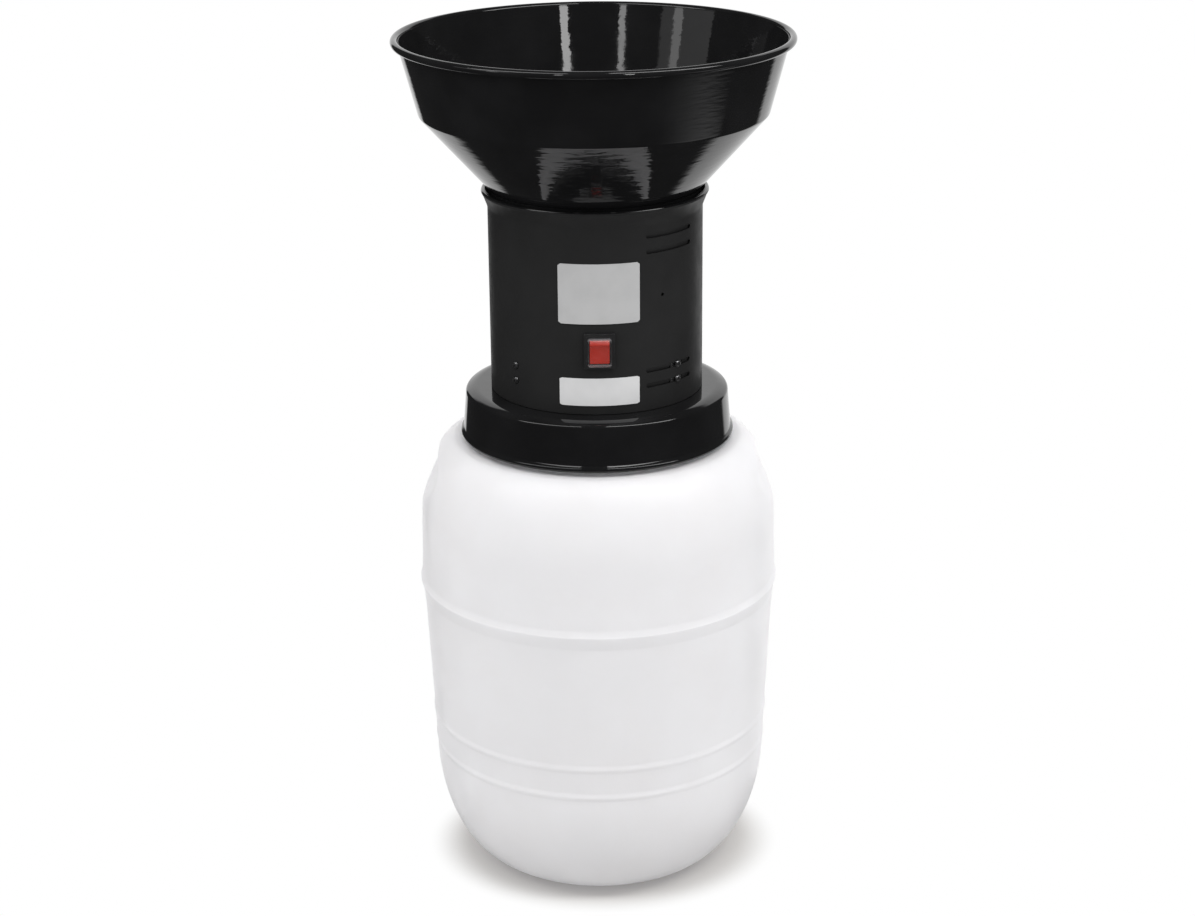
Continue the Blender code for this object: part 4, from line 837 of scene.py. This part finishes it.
build_hopper()
build_hopper_floor()
build_gate()


# Screws


def pan_head(name, turn, height, reach):
    """Pan-head screw with a cross recess, standing on the housing."""
    head = [(0, 0.0022), (0.0016, 0.00215), (0.0028, 0.0018), (0.0035, 0.0011), (0.0038, 0.0003)]
    shank = [(0.0037, 0), (0.00175, 0), (0.00175, -reach + 0.0006), (0.0011, -reach), (0, -reach)]
    screw = spin(name, head + shank, "screw_steel", 32, closed=False)
    arms = []
    for angle in (0, math.pi / 2):
        arm = prism("arm", rectangle(0.0042, 0.00068), 0.0009, 0.003)
        arms.append(move(arm, Matrix.Rotation(angle, 4, "Z")))
    carve(screw, [carve(arms[0], arms[1:], "UNION")])
    # Each cross stops at its own angle, as driven screws do
    driven = Matrix.Rotation(turn * 7.3 + height * 90, 4, "Z")
    return move(screw, facing(turn, ON_HOUSING, height) @ driven)


bracket_places = [(turn, height) for turn in BRACKET_TURNS for height in BRACKET_HEIGHTS]
for number, (turn, height) in enumerate(bracket_places, 1):
    screw = pan_head(f"bracket_pan_{number}", turn, height, 0.007)
    dress(screw, "head", f"bracket_screw_{number}")
for number, turn in enumerate(HOPPER_SCREW_TURNS, 1):
    screw = pan_head(f"hopper_pan_{number}", turn, HOPPER_SCREW_HEIGHT, 0.006)
    dress(screw, "head", f"hopper_screw_{number}")


# Switch

BEZEL_FACE = 0.1139
PIVOT_RADIUS = 0.1094
KEY_HALF_HEIGHT = 0.0122
KEY_HALF_WIDTH = 0.0100
KEY_TILT = math.radians(8)


def block(name, size, front, back, corner=0.0, edge=0.0, material=None):
    """Rounded block on the front, between two distances from the drum's axis."""
    outline = rounded(rectangle(*size), corner)
    made = prism(name, outline, back - HOUSING_RADIUS, front - HOUSING_RADIUS, material, edge)
    return move(made, facing(PANEL_TURN, HOUSING_RADIUS, SWITCH_HEIGHT))


def build_bezel():
    """Frame of the switch, its body behind the sheet and the well that the key sits in."""
    bezel = block("switch_bezel", (0.0315, 0.0366), BEZEL_FACE, 0.1092, 0.0016, 0.0007, "black_plastic")
    carve(bezel, [pin(ON_HOUSING, 0.55, 0.65, ROUND)])
    carve(bezel, [block("body", (0.0270, 0.0320), 0.1126, 0.0919, 0.0012)], "UNION")
    carve(bezel, [block("well", (0.0210, 0.0266), 0.118, 0.1009, 0.0010)])
    soften(bezel, 0.0003)
    return dress(bezel, "head", "switch_frame")


def build_key():
    """Rocker with a dished face, tilted as it rests, and its two pins."""
    half = KEY_HALF_HEIGHT
    outline = [(-0.0030, half, 0.0010), (-0.0062, half - 0.0036, 0.0012)]
    for share in even(3 / 12, 11 / 12, 9):
        outline.append((-0.0050 - 0.0017 * (2 * share - 1) ** 2, half - 2 * half * share))
    outline += [(-0.0067, -half, 0.0012), (0, -half, 0.0008)]
    outline += [(0.004, -0.006, 0.0010), (0.004, 0.006, 0.0010), (0, half, 0.0008)]
    outline = rounded(outline, steps=4)
    rocker = prism("switch_key", outline, -KEY_HALF_WIDTH, KEY_HALF_WIDTH, "red_plastic", 0.0007)
    pivot = around(PANEL_TURN, PIVOT_RADIUS, SWITCH_HEIGHT) @ Matrix.Rotation(PANEL_TURN, 4, "Z")
    upright = Matrix(((0, 0, 1, 0), (1, 0, 0, 0), (0, 1, 0, 0), (0, 0, 0, 1)))
    move(rocker, pivot @ Matrix.Rotation(KEY_TILT, 4, "X") @ upright)
    pins = move(pin(0.0012, -0.0115, 0.0115, 20), pivot @ Matrix.Rotation(math.pi / 2, 4, "Y"))
    carve(rocker, [pins], "UNION")
    return dress(rocker, "rocker", "switch_rocker")


def build_cap():
    """Clear splash cap over the key."""
    foot = BEZEL_FACE + GAP
    cap = block("switch_cap", (0.0238, 0.0280), foot + 0.0078, foot - 0.006, 0.0018, 0.0017, "clear_boot")
    carve(cap, [block("hollow", (0.0224, 0.0266), foot + 0.0070, foot - 0.007, 0.0012, 0.0010)])
    carve(cap, [block("cut_off", (0.0315, 0.0366), foot, foot - 0.020)])
    return dress(cap, "head", "switch_boot")


build_bezel()
build_key()
build_cap()


# Plates

PLATE_FACE = 0.1118


def build_plate(name, width, low, high, material, node, corner):
    """Thin blank plate bent round the front, with rounded corners."""
    sections = []
    for x in even(-width / 2, width / 2, 33):
        near = corner - min(corner, width / 2 - abs(x))
        drop = corner - math.sqrt(max(0.0, corner**2 - near**2))
        heights = even(low + drop, high - drop, 9)
        outline = [(ON_HOUSING, height) for height in heights]
        outline += [(PLATE_FACE, height) for height in heights[::-1]]
        sections.append(swung(outline, PANEL_TURN + x / PLATE_FACE))
    return dress(loft(name, sections, material, 40), "head", node)


build_plate("upper_plate", 0.084, 0.631, 0.693, "plate_silver", "rating_plate", 0.002)
build_plate("lower_label", 0.083, 0.545, 0.574, "plate_white", "lower_plate", 0.0012)


# Grinding chamber

STUD_TURNS = tuple(math.radians(turn) for turn in (45, 165, 285))
STUD_CIRCLE = 0.1148
STUD_RADIUS = 0.0025
STUD_TOP = 0.5332
SIEVE_INSIDE = 0.1058
SIEVE_OUTSIDE = 0.107
PAN_FOOT = 0.4861
PAN_TOP = 0.4879
BLADE_FOOT = 0.4975
BLADE_BORE = 0.0053


def build_sieve():
    sheet = rounded(band(SIEVE_INSIDE, SIEVE_OUTSIDE, PAN_TOP + GAP, STUD_TOP), 0.0004, steps=3)
    screen = spin("sieve_screen", sheet, "steel", sharp=60)
    middle = (SIEVE_INSIDE + SIEVE_OUTSIDE) / 2
    turns = [TURN * (column + 0.5) / 16 for column in range(16)]
    places = [facing(turn, middle, height) for height in (0.5012, 0.5202) for turn in turns]
    carve(screen, [move(pin(0.004, -0.004, 0.004, 28), place) for place in places])
    soften(screen, 0.0003, 60)
    return dress(screen, "head", "sieve_ring")


def build_pan():
    """Floor of the chamber with its turned-up edge, and an ear for each stud."""
    outline = [(0, PAN_FOOT), (0.1094, PAN_FOOT, 0.0009), (0.1094, 0.4919, 0.0009)]
    outline += [(0.1074, 0.4919, 0.0006), (0.1074, PAN_TOP, 0.0004), (0, PAN_TOP)]
    pan = spin("chamber_pan", rounded(outline, closed=False), "steel", closed=False)
    ears, holes = [], []
    for turn in STUD_TURNS:
        ear = prism("ear", arc((0, 0), 0.007, 0, 351, 40), PAN_FOOT, PAN_TOP, None, 0.0004)
        ears.append(move(ear, around(turn, STUD_CIRCLE)))
        holes.append(move(pin(0.0028, 0.48, 0.50, 24), around(turn, STUD_CIRCLE)))
    carve(pan, ears, "UNION")
    carve(pan, holes)
    return dress(pan, "head", "chamber_floor")


def build_stud(number, turn):
    """Stud with a thread along its tail."""
    outline = [(0, 0.4681), (0.0019, 0.4681), (0.0022, 0.4686)]
    for height in even(0.4690, 0.4882, 25):
        outline += [(STUD_RADIUS, height), (STUD_RADIUS, height + 0.0002), (0.00215, height + 0.0006)]
    outline += [(STUD_RADIUS, 0.4895), (STUD_RADIUS, STUD_TOP), (0, STUD_TOP)]
    stud = spin(f"threaded_stud_{number}", outline, "steel", 32, closed=False, sharp=20)
    move(stud, around(turn, STUD_CIRCLE))
    return dress(stud, "head", f"chamber_stud_{number}")


def build_wing_nut(number, turn):
    """Wing nut under the pan. Its wings are drawn down from its top."""
    top = PAN_FOOT - GAP
    hub = [(0.0028, top - 0.006), (0.0044, top - 0.006, 0.0007), (0.0054, top - 0.0018, 0.0010)]
    hub += [(0.0055, top, 0.0004), (0.0028, top)]
    nut = spin(f"butterfly_nut_{number}", rounded(hub, steps=4), "steel", 40)
    outline = [(0.0031, -0.0020), (0.0098, -0.0050, 0.003), (0.0109, -0.0068, 0.0012)]
    outline += [(0.0109, -0.0099, 0.0016), (0.0084, -0.0086, 0.002), (0.0031, -0.0056)]
    wings = []
    for side in (0, math.pi):
        wing = prism("wing", rounded(outline), -0.0010, 0.0010, None, 0.0005)
        move(wing, Matrix.Rotation(side, 4, "Z") @ Matrix.Rotation(math.pi / 2, 4, "X"))
        wings.append(move(wing, Matrix.Translation((0, 0, top))))
    carve(nut, wings, "UNION")
    move(nut, around(turn, STUD_CIRCLE) @ Matrix.Rotation(turn, 4, "Z"))
    return dress(nut, "head", f"wing_nut_{number}")


def build_blade():
    """Beater bar with its tips bent up and, on each arm, its leading edge ground to a wedge."""
    half_length, half_width, thickness, corner = 0.099, 0.015, 0.003, 0.003
    bend, blend, rise = 0.062, 0.0015, 0.006
    blunt = (0.0004, 0.0026)
    sections = []
    for x in even(-half_length, half_length, 73):
        reach = abs(x)
        lift = rise / (half_length - bend) * blend * math.log1p(math.exp((reach - bend) / blend))
        foot = BLADE_FOOT + min(lift, rise)
        nip = max(0.0, corner - (half_length - reach))
        half = half_width - (corner - math.sqrt(max(0.0, corner**2 - nip**2)))
        ground = max(0.0, min(1.0, (reach - 0.011) / 0.019))
        wedge = (0.0004 + 0.0066 * ground, 0.0008 + 0.0018 * (1 - ground))
        far, far_rise = wedge if x > 0 else blunt
        near, near_rise = wedge if x < 0 else blunt
        section = [(-half, foot), (half, foot), (half, foot + far_rise), (half - far, foot + thickness)]
        section += [(near - half, foot + thickness), (-half, foot + near_rise)]
        sections.append([(x, y, z) for y, z in section])
    blade = loft("beater_bar", sections, "steel", 20)
    carve(blade, [pin(BLADE_BORE, 0.49, 0.51, 40)])
    return dress(blade, "rotor", "blade")


def chamfered_hex(name, radius, low, high, material):
    """Hexagon whose corners are turned off at both faces."""
    made = prism(name, arc((0, 0), radius, 0, 300, 6), low, high, material)
    face, widest, chamfer = radius * 0.88, radius * 1.02, radius * 0.08
    trim = [(0, low), (face, low), (widest, low + chamfer)]
    trim += [(widest, high - chamfer), (face, high), (0, high)]
    return carve(made, [spin("trim", trim, steps=60, closed=False)], "INTERSECT")


def build_blade_nut():
    top = BLADE_FOOT - GAP
    low = top - 0.002
    ring = [(BLADE_BORE, low), (0.013, low, 0.0006), (0.013, top, 0.0003), (BLADE_BORE, top)]
    washer = spin("blade_disc", rounded(ring, steps=4), "steel", 64)
    dress(washer, "rotor", "blade_washer")
    high = low - GAP
    nut = chamfered_hex("blade_hexagon", 0.0092, high - 0.0045, high, "steel")
    carve(nut, [pin(BLADE_BORE, high - 0.01, high + 0.01, 40)])
    return dress(nut, "rotor", "blade_nut")


build_sieve()
build_pan()
for number, turn in enumerate(STUD_TURNS, 1):
    build_stud(number, turn)
    build_wing_nut(number, turn)
build_blade()
build_blade_nut()


# Cord gland and pivot nut

GLAND_BORE = 0.0040
HEX_TOP = 0.7506


def build_gland():
    """Cord gland: a hexagon against the housing, a fluted cap, a rubber seal in its mouth and
    a thread on the barrel inside."""
    outline = [(GLAND_BORE, -0.0090), (0.0070, -0.0090)]
    for height in even(-0.0086, -0.0020, 7):
        outline += [(0.0074, height), (0.0074, height + 0.0003), (0.0069, height + 0.0008)]
    outline += [(0.0069, 0.0), (0.0069, 0.0050), (0.0088, 0.0050), (0.0094, 0.0056)]
    outline += [(0.0095, 0.0125, 0.0020), (0.0076, 0.0170, 0.0012), (0.0058, 0.0170, 0.0003)]
    outline += [(0.0058, 0.0150), (GLAND_BORE, 0.0150)]
    gland = spin("cord_gland", rounded(outline), "black_plastic", 72)
    carve(gland, [chamfered_hex("collar", 0.0115, 0.0, 0.0052, "black_plastic")], "UNION")
    carve(gland, [pin(GLAND_BORE, -0.02, 0.03, 40)])
    turns = [TURN * (i + 4) / 16 for i in range(16)]
    carve(gland, [move(pin(0.0010, 0.0062, 0.0138, 12), around(turn, 0.0101)) for turn in turns])
    seal = spin("seal", rounded(band(0.0041, 0.0057, 0.0152, 0.0166), 0.0005), "rubber", 48)
    gland = merge("cord_gland_whole", [gland, seal], "black_plastic")
    paint(gland, "rubber", lambda face: face.center.z > 0.01515 and from_axis(face) < 0.00575)
    move(gland, facing(GLAND_TURN, ON_HOUSING, GLAND_HEIGHT))
    return dress(gland, "head", "cable_gland")


def build_pivot_nut():
    """Dome nut on the gate's pivot."""
    nut = chamfered_hex("dome_nut", 0.0075, ON_GATE, HEX_TOP, "steel")
    dome = [(0, HEX_TOP + 0.0030)]
    for slant in map(math.radians, range(10, 91, 10)):
        dome.append((0.0060 * math.sin(slant), HEX_TOP + 0.0030 * math.cos(slant)))
    dome += [(0.0060, HEX_TOP - 0.0006), (0, HEX_TOP - 0.0006)]
    carve(nut, [spin("dome", dome, steps=48, closed=False)], "UNION")
    carve(nut, [pin(0.0033, 0.74, HEX_TOP + GAP)])
    return dress(nut, "head", "gate_pivot_nut")


build_gland()
build_pivot_nut()


# Nodes shown as their own solids take the material that their slot names

for obj in nodes.values():
    for index, named in enumerate(obj.data.materials):
        slot = named.name if named else ""
        finish = next((key for key in MATERIALS if slot.startswith(key)), "steel")
        obj.data.materials[index] = MATERIALS[finish]


# Studio

DIM = 0.030  # level of the dim studio that mirrors see


def build_table():
    """Small grey table top that catches the real shadow and fades into the white behind it.
    Its grey near the drum, faded out along an oval round the drum's foot, is painted shadow
    over the real one. Mirrors see it dim, as the studio below them, and matt surfaces see it glow softly."""
    material = bpy.data.materials.new("table_top")
    material.use_nodes = True
    made = Nodes(material.node_tree)
    made.tree.nodes.clear()
    diffuse = made.add("ShaderNodeBsdfDiffuse")
    # Grey, not white: near the drum this grey is painted shadow on top of the real shadow
    diffuse.inputs["Color"].default_value = (0.545, 0.534, 0.516, 1)
    white = made.add("ShaderNodeEmission")
    dim = made.add("ShaderNodeEmission")
    dim.inputs["Strength"].default_value = DIM
    # Oval of the painted shadow, a little narrower across than deep, centred by the drum's foot
    painted_shadow_oval = made.add("ShaderNodeMapping")
    painted_shadow_oval.inputs["Scale"].default_value = (0.89, 1, 1)
    made.link(made.add("ShaderNodeTexCoord").outputs["Object"], painted_shadow_oval.inputs["Vector"])
    away = made.add("ShaderNodeVectorMath", operation="DISTANCE")
    made.link(painted_shadow_oval.outputs["Vector"], away.inputs[0])
    away.inputs[1].default_value = (0.003, -0.006, 0)
    path = made.add("ShaderNodeLightPath").outputs
    seen = made.combine("MAXIMUM", path["Is Camera Ray"], path["Is Transmission Ray"])
    # From 0.131 to 0.175 m out the camera sees the grey give way to white: the painted shadow's edge
    past_painted_shadow = made.combine("MULTIPLY", made.ramp(away.outputs["Value"], 0.131, 0.175), seen)
    glow = made.spread(path["Is Camera Ray"], 0, 1, 0.45, 0)
    surface = made.mixed(made.combine("MAXIMUM", past_painted_shadow, glow), diffuse.outputs[0], white.outputs[0])
    surface = made.mixed(path["Is Glossy Ray"], surface, dim.outputs[0])
    made.link(surface, made.add("ShaderNodeOutputMaterial").inputs["Surface"])

    form = bmesh.new()
    outline = arc((0.002, -0.003), 0.26, 0, 356.25, 96)
    form.faces.new([form.verts.new((x, y, 0)) for x, y in outline])
    table = object_from("table_top", form, None)
    table.data.materials.append(material)


def build_world():
    """White wherever a camera looks. Glossy and clear surfaces see that white where it
    hangs, behind the mill, and a dim studio elsewhere. Matt surfaces get soft fill light."""
    world = bpy.data.worlds.new("studio")
    bpy.context.scene.world = world
    world.use_nodes = True
    made = Nodes(world.node_tree)
    made.tree.nodes.clear()

    def shade(strength=1.0):
        node = made.add("ShaderNodeBackground")
        node.inputs["Color"].default_value = (1, 1, 1, 1)
        node.inputs["Strength"].default_value = strength
        return node

    def patch(*edges):
        """1 within its soft edges, 0 outside them."""
        return made.combine("MULTIPLY", *(made.ramp(*edge) for edge in edges))

    split = made.add("ShaderNodeSeparateXYZ")
    made.link(made.add("ShaderNodeTexCoord").outputs["Generated"], split.inputs[0])
    across, back, height = split.outputs
    turn = made.combine("ARCTAN2", across, back)
    # The white hanging behind the mill, whose left edge leans out towards the floor
    leftward = made.combine("ADD", turn, made.spread(height, -0.28, -0.66, 0, 0.14))
    window = patch(
        (leftward, math.radians(-26.5), math.radians(-21.5)),
        (turn, math.radians(43), math.radians(36)),
        (height, -0.80, -0.72),
        (height, 0.62, 0.55),
    )
    # A low grey card on the right
    card = patch(
        (turn, math.radians(135), math.radians(86)),
        (turn, math.radians(79), math.radians(84)),
        (height, -0.50, -0.60),
        (height, -0.86, -0.76),
    )
    fill = shade()
    made.link(made.spread(height, -1, 1, 1.05, 1.07), fill.inputs["Strength"])
    path = made.add("ShaderNodeLightPath").outputs
    mirrored = made.combine("MAXIMUM", path["Is Glossy Ray"], path["Is Transmission Ray"])
    behind = made.mixed(window, shade(DIM).outputs[0], shade().outputs[0])
    room = made.mixed(mirrored, fill.outputs[0], made.mixed(card, behind, shade(0.7).outputs[0]))
    room = made.mixed(path["Is Camera Ray"], room, shade().outputs[0])
    made.link(room, made.add("ShaderNodeOutputWorld").inputs["Surface"])


def softbox(name, place, aim, width, height, power, level=False):
    """Rectangular lamp. Its width runs level, or as near to the X axis as its aim allows."""
    data = bpy.data.lights.new(name, "AREA")
    data.shape = "RECTANGLE"
    data.size = width
    data.size_y = height
    data.energy = power
    lamp = bpy.data.objects.new(name, data)
    away = (Vector(place) - Vector(aim)).normalized()
    side = Vector((0, 0, 1)).cross(away) if level else Vector((1, 0, 0)) - away * away.x
    side.normalize()
    turned = Matrix((side, away.cross(side), away)).transposed()
    lamp.matrix_world = Matrix.Translation(place) @ turned.to_4x4()
    bpy.context.scene.collection.objects.link(lamp)
    return lamp


def light_only(name, pieces, lamps):
    """Lets some lamps reach none but the pieces named."""
    group = bpy.data.collections.new(name)
    for piece in pieces:
        group.objects.link(bpy.data.objects[piece])
    for lamp in lamps:
        lamp.light_linking.receiver_collection = group


LEFT, RIGHT = (-1.40, -0.99, 2.52), (1.33, -0.99, 2.57)
MIDDLE = (0, 0, 0.52)
HOPPER_AIM = (0, 0, 0.88)

build_table()
build_world()
softbox("softbox_left", LEFT, MIDDLE, 2.2, 0.6, 18)
softbox("softbox_right", RIGHT, MIDDLE, 2.4, 0.6, 32)
strips = [
    softbox("strip_left", (-0.93, -2.70, 1.80), HOPPER_AIM, 0.20, 0.9, 3.2, True),
    softbox("strip_right", (0.93, -2.70, 1.80), HOPPER_AIM, 0.26, 0.9, 7.0, True),
    softbox("card_left", (-2.3, -1.5, 1.65), HOPPER_AIM, 0.30, 0.7, 1.5, True),
    softbox("card_side", (-2.45, -1.2, 1.65), HOPPER_AIM, 1.8, 0.7, 2.6, True),
]
light_only("hopper_lamps", ["feed_hopper"], strips)
edges = [
    softbox("edge_left", LEFT, MIDDLE, 2.2, 0.16, 24),
    softbox("edge_right", RIGHT, MIDDLE, 2.4, 0.16, 24),
]
light_only("edge_lamps", ["lid_cover", "feed_hopper"], edges)
glint = softbox("strip_switch", (0.05, -0.75, 1.95), (0, -0.11, SWITCH_HEIGHT), 0.7, 0.25, 4.5)
light_only("switch_lamps", ["switch_bezel", "switch_key", "switch_cap"], [glint])
